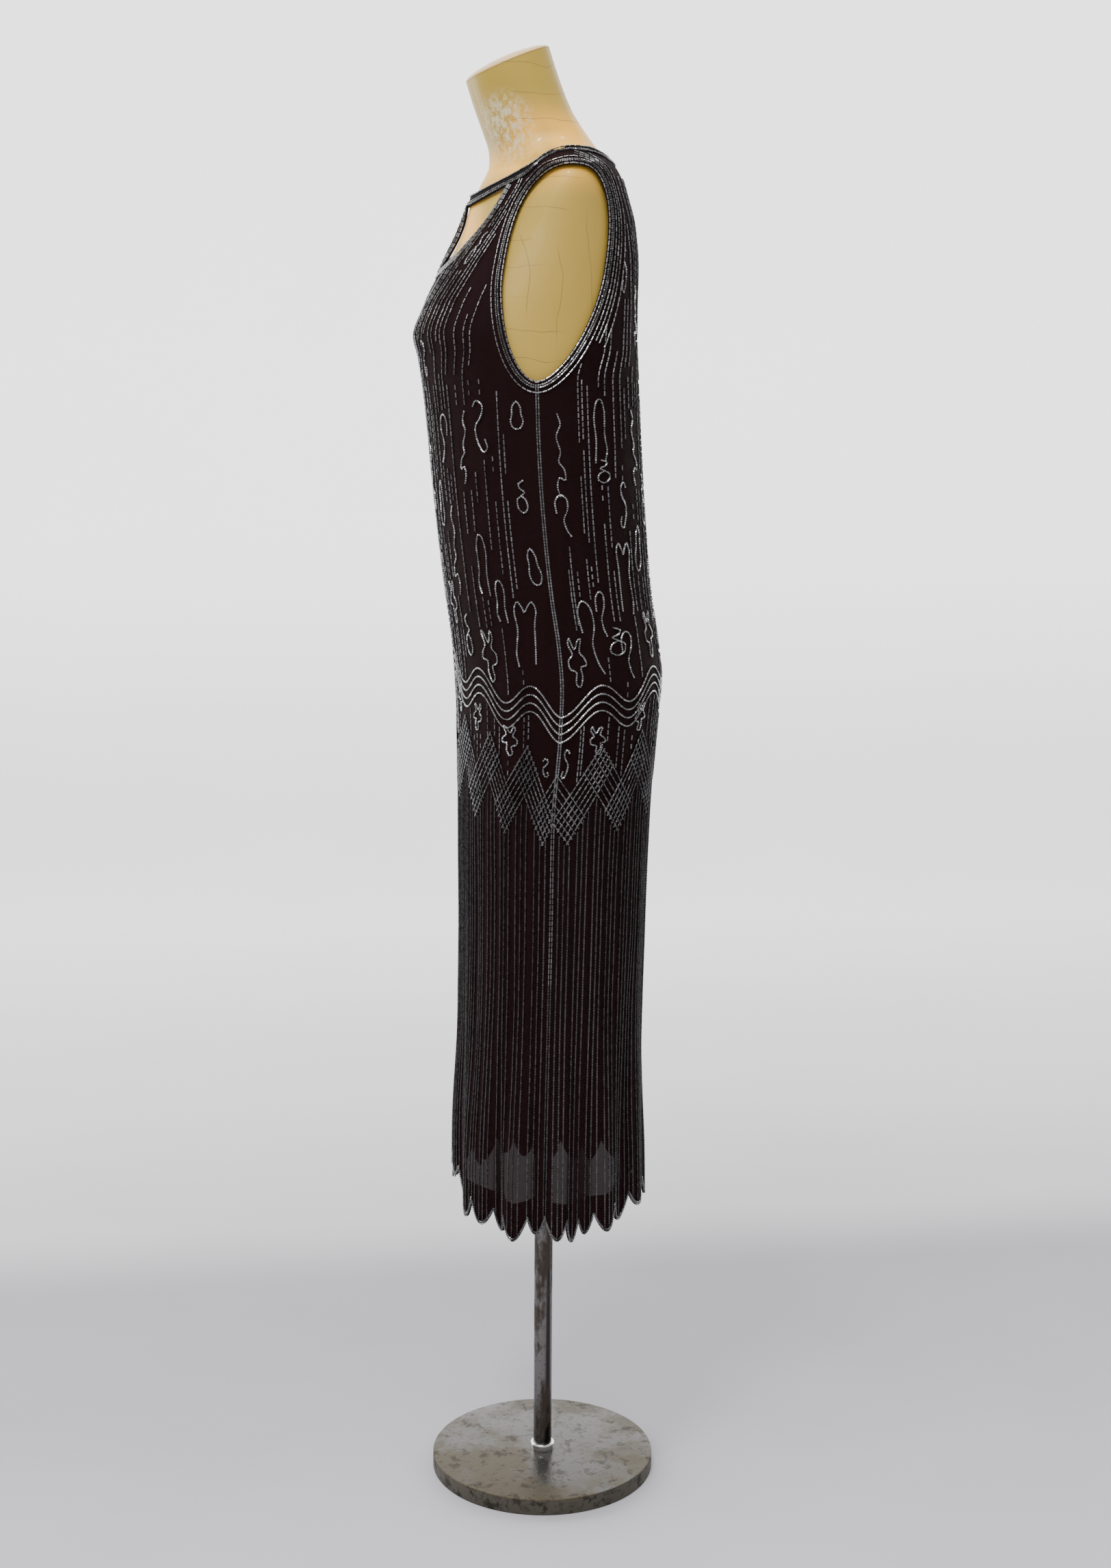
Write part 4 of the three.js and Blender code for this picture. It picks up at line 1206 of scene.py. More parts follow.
def plate_paint(wire):
    stain = noise(wire, 7.0, 6.0, roughness=0.62)
    spots = noise(wire, 48.0, 5.0, roughness=0.7).step(0.53, 0.63)
    pits = noise(wire, 130.0, 4.0, roughness=0.65).step(0.54, 0.63)
    place = {0: place_of(wire)}
    reach = wire.node("ShaderNodeVectorMath", place, output="Value", operation="LENGTH")
    blotches = noise(wire, 22.0, 5.0, roughness=0.6).step(0.36, 0.58)
    edge = reach.step(STAIN_FROM, STAIN_FULL) * blotches
    brown = wire.maths("MAXIMUM", stain.step(0.46, 0.60), edge)
    top = axis_of(wire, "Z").step(TOP_FROM, TOP_FULL)
    colour = (spots * 0.7).mix(brown.mix(STEEL, STAIN), RUST_SPOT)
    colour = top.mix(spots.mix(RIM, RIM_SPOT), colour)
    colour = (pits * 0.7).mix(colour, PIT)
    return {
        "Base Color": colour,
        "Metallic": 0.25 + top * 0.45 - brown * 0.25,
        "Roughness": 0.46 - top * 0.22 + brown * 0.20 + spots * 0.15,
        "Specular IOR Level": 0.35,
        "Normal": bump(wire, stain * 0.4 - spots * 0.6 - pits, 0.3, 0.0006),
    }


def tube_paint(wire):
    rust = noise(wire, 30.0, 5.0, (1, 1, 0.4), 0.65).step(0.47, 0.57)
    scratch = noise(wire, 120.0, 3.0, (1, 1, 0.05))
    # Painted reflection: dark upright streaks stand in for the room mirrored in the tube.
    streaks = noise(wire, 75.0, 2.0, (1, 1, 0.015)).step(0.42, 0.62)
    pits = noise(wire, 260.0, 2.0).step(0.62, 0.70)
    colour = rust.mix(streaks.mix(*PLATING_WITH_PAINTED_REFLECTIONS), TUBE_RUST)
    return {
        "Base Color": (pits * 0.6).mix(colour, TUBE_PIT),
        "Metallic": 0.95 - rust * 0.6,
        "Roughness": 0.16 + rust * 0.35 + scratch * 0.12,
        "Normal": bump(wire, scratch * 0.3 - rust - pits, 0.2, 0.0004),
    }


def chrome_paint(wire):
    haze = noise(wire, 90.0)
    return {
        "Base Color": haze.mix(*CHROME),
        "Metallic": 1.0,
        "Roughness": 0.08 + haze * 0.1,
    }


dress_object(base, "stand_base", finish("stained_steel", plate_paint))
dress_object(pole, "stand_pole", finish("worn_tube", tube_paint))
dress_object(collar, "stand_collar", finish("chrome", chrome_paint))
print("stand finishes:", *[obj.data.materials[0].name for obj in (base, pole, collar)])

# %% [markdown]
# ## Paths for the beads
#
# Beads are sewn on long threads. A thread is a line on the cloth, given by how
# far it is from the side seam and by its level. Rows run straight up to the
# bust, lean toward the shoulder above it, and stop short of every edge.

# %% Paths on the cloth
PATH_STEP, BUST, LEAN_FROM, LEAN_TO = 6.0, 1406, 1452, 1582
BUST_DRIFT = {"front": 3.0, "back": -4.0}  # degrees toward the seam by the bust
SHOULDER_FIRST, SHOULDER_PACK = math.radians(41), 0.42  # rows as they meet the band
FIRST_ROW, BACK_LEAN = math.radians(10), math.radians(8)
ARM_CLEAR, V_CLEAR, BAND_CLEAR, YOKE_CLEAR, YOKE_FROM = 16.5, 10.0, 2, 38.0, 1425


def half_of(skirt):
    """The columns of half a panel, and how far round the hem each is."""
    columns = skirt[0][0]
    x, y, _ = section_point(section_at(SECTIONS[0, 0]), columns)
    arc = np.concatenate([[0], np.cumsum(np.hypot(np.diff(x), np.diff(y)))])
    return {"arc": arc, "columns": columns, "length": arc[-1]}


HALVES = {"front": half_of(front_skirt), "back": half_of(back_skirt)}


def place_on(side, reach, level):
    """Angle and height, a given way from the side seam and at a given level."""
    half, level = HALVES[side], np.asarray(level, float)
    angle = np.interp(half["length"] - reach, half["arc"], half["columns"])
    turned = math.radians(BUST_DRIFT[side]) * soft_step((level - UNDERARM) / (BUST - UNDERARM))
    lean = np.clip((level - LEAN_FROM) / (LEAN_TO - LEAN_FROM), 0, 1)
    if side == "back":
        return np.broadcast_arrays(angle - turned - BACK_LEAN * lean, level)
    angle = angle + turned
    packed = SHOULDER_FIRST + (angle - FIRST_ROW) * SHOULDER_PACK
    return np.broadcast_arrays(angle * (1 - lean) + packed * lean, level)


edge_turns = np.linspace(-1, 1, 120)
ARM_EDGE = {side: armhole_edge(edge_turns, side == "back") for side in HALVES}
v_angle = BAND_JOIN * np.linspace(0, 1, 40)
v_z = v_edge(v_angle)


def on_panel(side, angle, z, spare=0.0):
    """Which places are on a panel's cloth, and clear of the borders on its edges."""
    points = dress(angle, z)[:, None]

    def nearest(edge):
        return np.linalg.norm(points - dress(*edge), axis=-1).min(1)

    arm_angle, arm_z = ARM_EDGE[side]
    arm = np.interp(z, arm_z, arm_angle)
    yoke = (z > YOKE_FROM) & (side == "back")  # rows run beside the armhole there
    off = (z > UNDERARM) & (angle > arm if side == "front" else angle < arm)
    off |= nearest(ARM_EDGE[side]) < np.where(yoke, YOKE_CLEAR, ARM_CLEAR) - spare
    if side == "front":
        off |= (z > V_BOTTOM) & (angle < np.interp(z, v_z, v_angle))
        off |= nearest((v_angle, v_z)) < V_CLEAR - spare
    return ~off & (z < below_band(angle) - BAND_CLEAR)


print({side: round(half["length"]) for side, half in HALVES.items()}, "mm of half hem")

# %% [markdown]
# ## Threads
#
# A thread may be cut into the stretches that lie on cloth, or run beside an
# edge at a fixed way, as a border does. All are gathered by the name of the
# piece that they will be, and lie half a bead's thickness off the cloth.


# %% Threads
def runs_of(keep):
    """The unbroken stretches of a list of yes and no."""
    stretches = np.split(np.arange(len(keep)), np.flatnonzero(np.diff(keep.astype(int))) + 1)
    return [run for run in stretches if keep[run[0]] and len(run) > 2]


def beside_path(angle, z, distance):
    """A path that runs beside another on the cloth, to its left if above 0."""
    points = dress(angle, z)
    along = np.gradient(points, axis=0)
    left = np.cross(normals(angle, z), along)
    left /= np.linalg.norm(left, axis=-1, keepdims=True)
    target = points + distance * left
    new_z, new_angle, turn = target[:, 2], angle.copy(), 0.01
    for _ in range(5):
        miss = target - dress(new_angle, new_z)
        slope = (dress(new_angle + turn, new_z) - dress(new_angle - turn, new_z)) / (2 * turn)
        new_angle = new_angle + (miss * slope).sum(-1) / (slope * slope).sum(-1)
    return new_angle, new_z


threads = {}


def lay(piece, angle, z, lift, inset=UNDER_BEADS):
    """Lays a thread on the cloth, lifted by half a bead's thickness."""
    path = dress(angle, z) + (lift - inset) * normals(angle, z)
    threads.setdefault(piece, []).append(path)


def seam_turn(angle):
    """Degrees from the side seam."""
    return np.abs(np.degrees(np.abs(np.arctan2(np.sin(angle), np.cos(angle)))) - 90)


# %% [markdown]
# ## Waves and zigzags at the hip
#
# Bands of waves and zigzags are common on dresses of this kind. The waves are
# four threads, one below the other. A zigzag is a band of slanting threads that
# cross at every point, so each thread runs a little past the turn. Both rise
# toward the centre front and back.

# %% Hip bands
RISE = 0.40  # how far the bands climb for each degree from the seam
WAVE_PERIOD, WAVE_LOW, WAVE_SWING, WAVE_GAP, WAVE_ROWS = 36.0, 988.0, 28.0, 9.6, 4
ZIG_FIRST, ZIG_HALF, ZIG_LOW, ZIG_SWING, ZIG_DEPTH = 7.0, 13.3, 895.0, 50.0, 56.0
ZIG_ROWS, ZIG_POINTS, BAND_STEP, CROSSING_LIFT = 6, 14, 1.5, 0.9
SEED_LIFT, SHORT_LIFT, BUGLE_LIFT = 0.95, 0.85, 0.85


def wave_level(turn):
    swing = 0.5 - 0.5 * np.cos(2 * math.pi * turn / WAVE_PERIOD)
    return WAVE_LOW + RISE * turn + WAVE_SWING * swing


def zig_level(turn):
    """The upper edge of the zigzag band."""
    phase = np.abs((turn - ZIG_FIRST) / ZIG_HALF + 1) % 2
    return ZIG_LOW + RISE * turn + ZIG_SWING * np.abs(phase - 1)


def around(side, half, turn):
    """The angle that lies some degrees from a side seam."""
    angle = math.radians(90) + np.radians(turn) * (1 if side == "back" else -1)
    return half * angle


def lay_bands(side, half):
    turn = np.arange(0.0, 90.1, BAND_STEP)
    angle = around(side, half, turn)
    for row in range(WAVE_ROWS):
        lay(f"wave_beads_{side}", angle, wave_level(turn) - row * WAVE_GAP, SEED_LIFT)
    slope = ZIG_SWING / ZIG_HALF
    reach = ZIG_DEPTH / (2 * slope)
    for low in np.arange(ZIG_FIRST, 90, 2 * ZIG_HALF):
        for way in (1, -1):
            for f in np.linspace(0, 1, ZIG_ROWS):
                start, stop = -(1 - f) * reach, ZIG_HALF + f * reach
                x = np.linspace(start, stop, ZIG_POINTS)
                turns = low + way * x
                level = ZIG_LOW + RISE * turns + slope * x - f * ZIG_DEPTH
                keep = (turns >= 0) & (turns <= 90)
                if keep.sum() > 2:
                    angle = around(side, half, turns[keep])
                    lift = SHORT_LIFT + (CROSSING_LIFT if way < 0 else 0)
                    lay(f"zigzag_beads_{side}", angle, level[keep], lift)


for side in ("front", "back"):
    for half in (1, -1):
        lay_bands(side, half)
print({name: len(paths) for name, paths in threads.items()}, "threads")

# %% [markdown]
# ## Curled motifs
#
# Between the rows are small curls of seed beads: drops, hooks, wandering lines
# and rough stars. Such filling is traditional, and the shapes here are drawn
# afresh as a few generic ones. A table says where each goes.

# %% Motifs
chance = np.random.default_rng(26)
MOTIF_SPARE, MOTIF_SIZES, SEAM_EDGE = 7.0, (0.94, 1.06), 0.5
SHAPES = {  # points from -1 to 1 upward, closed if the last is the first
    "drop": "0,1 .28,.62 .3,.1 .42,-.5 .2,-.95 -.2,-.95 -.42,-.45 -.3,.1 -.26,.62 0,1",
    "hook": "-.5,.15 -.55,.7 -.2,1 .2,.8 .22,.3 -.05,-.2 .1,-.7 .35,-1",
    "wander": "-.1,1 .1,.75 -.12,.45 .14,.1 .05,-.15 .4,-.35 .45,-.6 .1,-.55 -.05,-.75 .1,-1",
    "star": "-.35,1 -.1,.55 .15,.9 .35,.95 .2,.45 .45,.2 .55,-.1 .2,-.2 .25,-.6 .1,-1"
    " -.15,-.85 -.1,-.4 -.45,-.25 -.5,.1 -.25,.35 -.45,.75 -.35,1",
    "twin": "-.45,-.9 -.4,.2 -.47,.75 -.3,1 -.12,.85 0,.68 .12,.85 .3,1 .42,.7 .3,.1 .36,-.6 .25,-1",
    "arch": "-.4,-1 -.32,-.3 -.42,.4 -.25,.9 .1,1 .32,.6 .3,-.1 .45,-.6 .3,-.95",
    "knot": "-.1,1 .2,.8 .1,.5 -.2,.3 .05,.05 .35,-.2 .3,-.75 -.05,-1 -.35,-.7 -.25,-.2 .05,.05",
    "ess": ".3,.8 .1,1 -.2,.8 -.1,.4 .25,0 .2,-.5 -.1,-.95 -.35,-.8 -.25,-.5",
}
MOTIFS = {  # reach from the seam, level, shape, half height, half width, leaning
    "front": [
        (20, 1326, "drop", 15, 14, 0.0),
        (60, 1313, "ess", 30, 24, 0.0),
        (83, 1290, "wander", 42, 15, -0.05),
        (124, 1300, "hook", 26, 18, 0.0),
        (19, 1236, "knot", 17, 13, 0.0),
        (14, 1158, "drop", 20, 14, 0.1),
        (73, 1158, "arch", 33, 17, 0.0),
        (54, 1118, "arch", 24, 14, 0.0),
        (32, 1082, "twin", 36, 25, -0.1),
        (80, 1054, "star", 30, 22, 0.1),
        (122, 1172, "wander", 50, 22, 0.0),
        (118, 1075, "knot", 24, 18, 0.0),
        (150, 1225, "drop", 24, 15, -0.1),
        (152, 1110, "star", 24, 20, 0.1),
        (186, 1262, "wander", 46, 22, 0.0),
        (188, 1135, "arch", 30, 20, 0.0),
        (160, 1390, "ess", 20, 14, 0.0),
        (196, 1400, "drop", 17, 14, 0.0),
        (13, 930, "ess", 11, 10, 0.0),
        (56, 959, "star", 16, 18, 0.1),
        (112, 980, "star", 16, 18, -0.1),
        (168, 996, "star", 16, 18, 0.0),
        (133, 1512, "knot", 17, 12, 0.0),
    ],
    "back": [
        (22, 1282, "wander", 44, 18, 0.05),
        (77, 1309, "arch", 34, 20, 0.0),
        (80, 1264, "knot", 13, 26, 0.0),
        (25, 1215, "hook", 22, 18, 0.0),
        (43, 1078, "hook", 40, 22, -0.05),
        (60, 1104, "hook", 25, 14, 0.1),
        (20, 1050, "star", 27, 20, 0.0),
        (76, 1072, "knot", 15, 30, 0.0),
        (92, 1056, "hook", 26, 20, 0.1),
        (105, 1142, "twin", 38, 26, 0.0),
        (112, 1225, "ess", 26, 18, 0.0),
        (140, 1290, "wander", 42, 22, 0.0),
        (138, 1175, "drop", 26, 18, 0.1),
        (142, 1075, "star", 26, 22, 0.0),
        (172, 1230, "knot", 28, 20, 0.0),
        (174, 1120, "arch", 32, 22, 0.0),
        (208, 1190, "wander", 50, 24, 0.0),
        (206, 1075, "drop", 22, 18, 0.0),
        (9, 934, "ess", 17, 11, 0.0),
        (47, 960, "star", 15, 18, -0.1),
        (112, 982, "star", 16, 18, 0.1),
        (176, 1002, "star", 16, 18, 0.0),
        (112, 1490, "ess", 26, 18, 0.0),
        (152, 1440, "wander", 34, 22, 0.0),
        (200, 1390, "star", 22, 20, 0.0),
    ],
}


def drawn(shape, steps=6):
    """A smooth line through a shape's points."""
    points = np.array([[float(n) for n in pair.split(",")] for pair in shape.split()])
    closed = np.allclose(points[0], points[-1])
    before = points[-2] if closed else 2 * points[0] - points[1]
    after = points[1] if closed else 2 * points[-1] - points[-2]
    p = np.concatenate([[before], points, [after]])
    t = np.linspace(0, 1, steps, endpoint=False)[:, None, None]
    a, b, c, d = p[:-3], p[1:-2], p[2:-1], p[3:]
    line = 0.5 * (
        2 * b + (c - a) * t + (2 * a - 5 * b + 4 * c - d) * t**2 + (3 * b - a - 3 * c + d) * t**3
    )
    return np.concatenate([line.transpose(1, 0, 2).reshape(-1, 2), points[-1:]])


for side, motifs in MOTIFS.items():
    for half in (1, -1):
        for reach, level, shape, tall, wide, lean in motifs:
            x, y = drawn(SHAPES[shape]).T
            size = chance.uniform(*MOTIF_SIZES)
            reaches = reach + size * (wide * x + lean * tall * y)
            angle, z = place_on(side, np.maximum(reaches, SEAM_EDGE), level + size * tall * y)
            for run in runs_of(on_panel(side, angle, z, MOTIF_SPARE)):
                lay(f"motif_beads_{side}", half * angle[run], z[run], SEED_LIFT)
print({side: len(motifs) for side, motifs in MOTIFS.items()}, "motifs on each half")

# %% [markdown]
# ## Rows on the bodice and skirt
#
# Bugle beads are sewn end to end in upright rows. On the bodice the rows break
# off and start again at uneven heights and make room for the motifs. On the
# skirt they run unbroken, in threes, from the zigzags to the hem. A seeded
# generator places the breaks, so the dress comes out the same each time.

# %% Upright rows
BODICE_ROWS = {
    "front": "33 39 47 57 70 79 90 105 113 121 132 140 151 159 170 178 190 198 207",
    "back": "24 29 35 48 54 61 77 86 100 112 121 132 145 154 164 177 186 199 208 217",
}
ROW_TOPS = {  # as far as this from the seam, a row ends between these levels
    "front": [(36, 1300, 1320), (62, 1345, 1368), (104, 1370, 1470), (300, 1500, 1680)],
    "back": [(38, 1238, 1250), (62, 1345, 1390), (110, 1385, 1460), (300, 1500, 1700)],
}
HIP, THIGH, BREAKS_BELOW, HIGHEST = 1000, 800, 1440, 1592
BREAK_MARGIN, BREAK_GAPS, MOST_BREAKS = 60, (10, 44), 3
ROW_WAVER, LATE_START, LOWER_WAVER = 0.8, 90, 12
SKIRT_FIRST, SKIRT_GAP, SKIRT_PITCH, CLEAR = 8.0, 6.4, 22.6, 7.0
HEM_CLEAR, ZIG_CLEAR, ZIG_WAVER = 7, 4, 6
SIDE_CLEAR, END_CLEAR, SHAPE_WIDTH = 3.5, 5.0, 0.5


def beside_motifs(side, reach, level):
    """Which levels of a row are clear of the motifs."""
    clear = np.ones(len(level), bool)
    for at, middle, _, tall, wide, _ in MOTIFS[side]:
        if abs(reach - at) < wide * SHAPE_WIDTH + SIDE_CLEAR:
            clear &= np.abs(level - middle) > tall + END_CLEAR
    return clear


def lay_row(piece, side, half, reach, low, high, lift):
    if high - low < 2 * PATH_STEP:
        return
    level = np.linspace(low, high, int((high - low) / PATH_STEP) + 2)
    angle, z = place_on(side, reach, level)
    for run in runs_of(on_panel(side, angle, z) & beside_motifs(side, reach, level)):
        lay(piece, half * angle[run], z[run], lift)


def broken(low, high, breaks):
    """A row's stretches from low to high, with gaps at uneven places."""
    lowest, highest = low + BREAK_MARGIN, min(high, BREAKS_BELOW) - BREAK_MARGIN
    cuts = np.sort(chance.uniform(lowest, highest, breaks))
    stretches, start = [], low
    for cut in cuts:
        stretches.append((start, cut))
        start = cut + chance.uniform(*BREAK_GAPS)
    return [*stretches, (start, high)]


def lay_bodice(side, half):
    piece = f"bodice_beads_{side}"
    for reach in (float(number) for number in BODICE_ROWS[side].split()):
        reach += chance.uniform(-ROW_WAVER, ROW_WAVER)
        turn = seam_turn(place_on(side, reach, HIP)[0])
        low = wave_level(turn) + CLEAR + chance.uniform(0, 1) ** 3 * LATE_START
        tops = next((least, most) for limit, least, most in ROW_TOPS[side] if reach < limit)
        top = min(chance.uniform(*tops), HIGHEST)
        for a, b in broken(low, top, chance.integers(1, MOST_BREAKS + 1)):
            lay_row(piece, side, half, reach, a, b, BUGLE_LIFT)
        low = zig_level(turn) + CLEAR + chance.uniform(0, LOWER_WAVER)
        high = wave_level(turn) - (WAVE_ROWS - 1) * WAVE_GAP - CLEAR
        lay_row(piece, side, half, reach, low, high, BUGLE_LIFT)


def lay_skirt(side, half):
    length = HALVES[side]["length"]
    for start in np.arange(SKIRT_FIRST, length, SKIRT_PITCH):
        for reach in start + np.arange(3) * SKIRT_GAP:
            if reach > length - 1:
                continue
            angle = place_on(side, reach, THIGH)[0]
            low = petal_shape(half * angle)[1] + HEM_CLEAR
            high = zig_level(seam_turn(angle)) - ZIG_DEPTH - ZIG_CLEAR
            high = high - chance.uniform(0, ZIG_WAVER)
            lay_row(f"skirt_beads_{side}", side, half, reach, low, high, SHORT_LIFT)


for side in ("front", "back"):
    for half in (1, -1):
        lay_bodice(side, half)
        lay_skirt(side, half)
print({name: len(paths) for name, paths in threads.items()}, "threads")

# %% [markdown]
# ## Borders
#
# An armhole is edged with a row of bugles, a ladder of seed beads, and a second
# row of bugles inside it. At the back more rows run beside it up the shoulder.
# The V has four rows of bugles, so that its raw edge can't stretch.

# %% Armhole and V borders
ARMHOLE_SPAN, ARMHOLE_POINTS = (-0.985, 0.99), 90
ARMHOLE_ROWS = [  # kind, distances from the edge, lift
    ("border", (1.0, 13.0), BUGLE_LIFT),
    ("ladder", (5.0, 7.6), SEED_LIFT),
]
YOKE_ROWS_BACK, YOKE_SPAN, YOKE_POINTS = (18.5, 24.0, 33.0), (-0.35, 0.93), 60
V_ROWS = 1.2, 3.4, 5.6, 7.8


def lay_both(piece, angle, z, lift):
    """Lays a thread on the near side, and its mirror image on the far one."""
    for half in (1, -1):
        lay(piece, half * angle, z, lift)


for side, way in (("front", 1), ("back", -1)):
    angle, z = armhole_edge(np.linspace(*ARMHOLE_SPAN, ARMHOLE_POINTS), side == "back")
    for kind, distances, lift in ARMHOLE_ROWS:
        for distance in distances:
            a, level = beside_path(angle, z, way * distance)
            keep = (a <= RIGHT_ANGLE) if side == "front" else (a >= RIGHT_ANGLE)
            lay_both(f"{kind}_beads_{side}", a[keep], level[keep], lift)

angle, z = armhole_edge(np.linspace(*YOKE_SPAN, YOKE_POINTS), True)
for distance in YOKE_ROWS_BACK:
    a, level = beside_path(angle, z, -distance)
    for run in runs_of((a > RIGHT_ANGLE) & (level < below_band(a) - BAND_CLEAR)):
        lay_both("bodice_beads_back", a[run], level[run], BUGLE_LIFT)

for distance in V_ROWS:
    lay_both("border_beads_front", *beside_path(v_angle, v_z, -distance), BUGLE_LIFT)
print("border threads:", len(threads["border_beads_front"]), len(threads["border_beads_back"]))

# %% [markdown]
# ## Hem, side seam, neck and strap
#
# Two rows of seed beads weight the petals' edges and make them fall. A close
# pair of rows hides each side seam, and its beads are black on the skirt, smoky
# at the thigh and grey above; the black is partly jet glass and partly painted
# shade for the weaker light low on the dress. The neck band has one row at its
# top and two near its foot, and the strap has three.

# %% Hem, seam, neck and strap
HEM_ROWS, HEM_POINTS, HEM_START = (1.2, 3.7), 260, 0.001
for side, panel in (("front", FRONT), ("back", BACK)):
    turns = np.linspace(HEM_START, panel["edges"][-1], HEM_POINTS)
    angle = math.pi - turns if side == "back" else turns
    for half in (1, -1):
        edge = petal_shape(half * angle)[1]
        for distance in HEM_ROWS:
            lay(f"hem_beads_{side}", half * angle, edge + distance, SEED_LIFT)

# Below SEAM_FADES the seam's beads take the skirt's jet glass, which is partly painted shade.
SEAM_HALF, SEAM_FADES = 1.3, 672.0  # half the space between its rows; black glass below
SEAM_BREAK, SEAM_TOP_CLEAR, SEAM_POINTS, SEAM_TURN = 4, 6, 90, 0.01
seam_foot = petal_shape(np.array(RIGHT_ANGLE))[1] + SEAM_BREAK
SEAM_PARTS = [  # piece, lowest and highest level
    ("skirt", seam_foot, SEAM_FADES),
    ("zigzag", SEAM_FADES + SEAM_BREAK, ZIG_LOW),
    ("seam", ZIG_LOW + SEAM_BREAK, UNDERARM - SEAM_TOP_CLEAR),
]
for sign, side in ((-1, "front"), (1, "back")):
    for piece, low, high in SEAM_PARTS:
        level = np.linspace(low, high, SEAM_POINTS)
        middle = np.full(SEAM_POINTS, RIGHT_ANGLE)
        depth = section_point(section_at(level), middle + sign * SEAM_TURN)[2]
        lay_both(f"{piece}_beads_{side}", middle + sign * SEAM_HALF / depth, level, SHORT_LIFT)

NECK_ROWS, NECK_POINTS = {"border": (1.0,), "ladder": (9.6, 12.4)}, 160
ring = np.radians(np.linspace(0, 360, NECK_POINTS))
for kind, widths in NECK_ROWS.items():
    for width in widths:
        lay(f"neck_{kind}_beads", ring, below_band(ring, width), BUGLE_LIFT, UNDER_BEADS / 2)
STRAP_THREADS, STRAP_SPAN, STRAP_POINTS = (-3.0, 0.0, 3.0), (0.01, 0.99), 20
for across in STRAP_THREADS:
    down = np.linspace(*STRAP_SPAN, STRAP_POINTS)
    row = strap_point(down, across, STRAP_CLOTH / 2 + BUGLE_LIFT)
    threads.setdefault("strap_beads", []).append(row)
print("threads in all:", sum(len(paths) for paths in threads.values()))

# %% [markdown]
# ## Beads on the threads
#
# Geometry Nodes strings the beads. The threads become curves, which are cut
# into even steps. A short tube with five or six sides is set on every step,
# turned along the thread and tilted a little at random. Each bead keeps a random
# tone, and the result is made real, into plain faces.


# %% Bead nodes
def bead_nodes():
    tree = bpy.data.node_groups.new("beads_on_threads", "GeometryNodeTree")
    interface = tree.interface
    interface.new_socket("Geometry", in_out="INPUT", socket_type="NodeSocketGeometry")
    for name in ("Pitch", "Radius", "Length", "Tilt"):
        interface.new_socket(name, in_out="INPUT", socket_type="NodeSocketFloat")
    for name in ("Sides", "Seed"):
        interface.new_socket(name, in_out="INPUT", socket_type="NodeSocketInt")
    interface.new_socket("Material", in_out="INPUT", socket_type="NodeSocketMaterial")
    interface.new_socket("Geometry", in_out="OUTPUT", socket_type="NodeSocketGeometry")

    def node(kind, links=(), **settings):
        made = tree.nodes.new(kind)
        for name, value in settings.items():
            setattr(made, name, value)
        for name, value in dict(links).items():
            if isinstance(value, bpy.types.NodeSocket):
                tree.links.new(value, made.inputs[name])
            else:
                made.inputs[name].default_value = value
        return made

    given = node("NodeGroupInput").outputs
    curve = node("GeometryNodeMeshToCurve", {"Mesh": given["Geometry"]})
    steps = node(
        "GeometryNodeResampleCurve",
        {"Curve": curve.outputs[0], "Length": given["Pitch"]},
        mode="LENGTH",
    )
    tube = node(
        "GeometryNodeMeshCylinder",
        {"Vertices": given["Sides"], "Radius": given["Radius"], "Depth": given["Length"]},
        fill_type="NGON",
    )
    along = node(
        "FunctionNodeAlignRotationToVector",
        {"Vector": node("GeometryNodeInputTangent").outputs[0]},
        axis="Z",
    )
    lowest = node("ShaderNodeVectorMath", {0: given["Tilt"], 1: (-1, -1, -1)}, operation="MULTIPLY")
    tilt = node(
        "FunctionNodeRandomValue",
        {"Min": lowest.outputs[0], "Max": given["Tilt"], "Seed": given["Seed"]},
        data_type="FLOAT_VECTOR",
    )
    euler = node("FunctionNodeEulerToRotation", {"Euler": tilt.outputs[0]})
    turned_bead = node(
        "FunctionNodeRotateRotation",
        {"Rotation": along.outputs[0], "Rotate By": euler.outputs[0]},
        rotation_space="LOCAL",
    )
    beads = node(
        "GeometryNodeInstanceOnPoints",
        {
            "Points": steps.outputs[0],
            "Instance": tube.outputs["Mesh"],
            "Rotation": turned_bead.outputs[0],
        },
    )
    tone = node("FunctionNodeRandomValue", {"Seed": given["Seed"]}, data_type="FLOAT")
    kept = node(
        "GeometryNodeStoreNamedAttribute",
        {"Geometry": beads.outputs[0], "Name": "tone", "Value": tone.outputs[1]},
        data_type="FLOAT",
        domain="INSTANCE",
    )
    real = node("GeometryNodeRealizeInstances", {"Geometry": kept.outputs[0]})
    painted = node(
        "GeometryNodeSetMaterial",
        {"Geometry": real.outputs[0], "Material": given["Material"]},
    )
    node("NodeGroupOutput", {"Geometry": painted.outputs[0]})
    return tree


stringing = bead_nodes()


def strung(name, paths, seed, kind, material):
    """A piece of beads, strung on the paths."""
    points = np.concatenate(paths)
    ends = np.cumsum([len(path) for path in paths])
    first = np.arange(len(points) - 1)
    first = first[~np.isin(first + 1, ends)]
    edges = np.stack([first, first + 1], 1).tolist()
    obj = new_object(name, points, edges=edges)
    beads = obj.modifiers.new("beads", "NODES")
    beads.node_group = stringing
    values = {**kind, "Seed": seed, "Material": material}
    for item in stringing.interface.items_tree:
        if item.in_out == "INPUT" and item.name in values:
            beads[item.identifier] = values[item.name]
    return made_plain(obj)
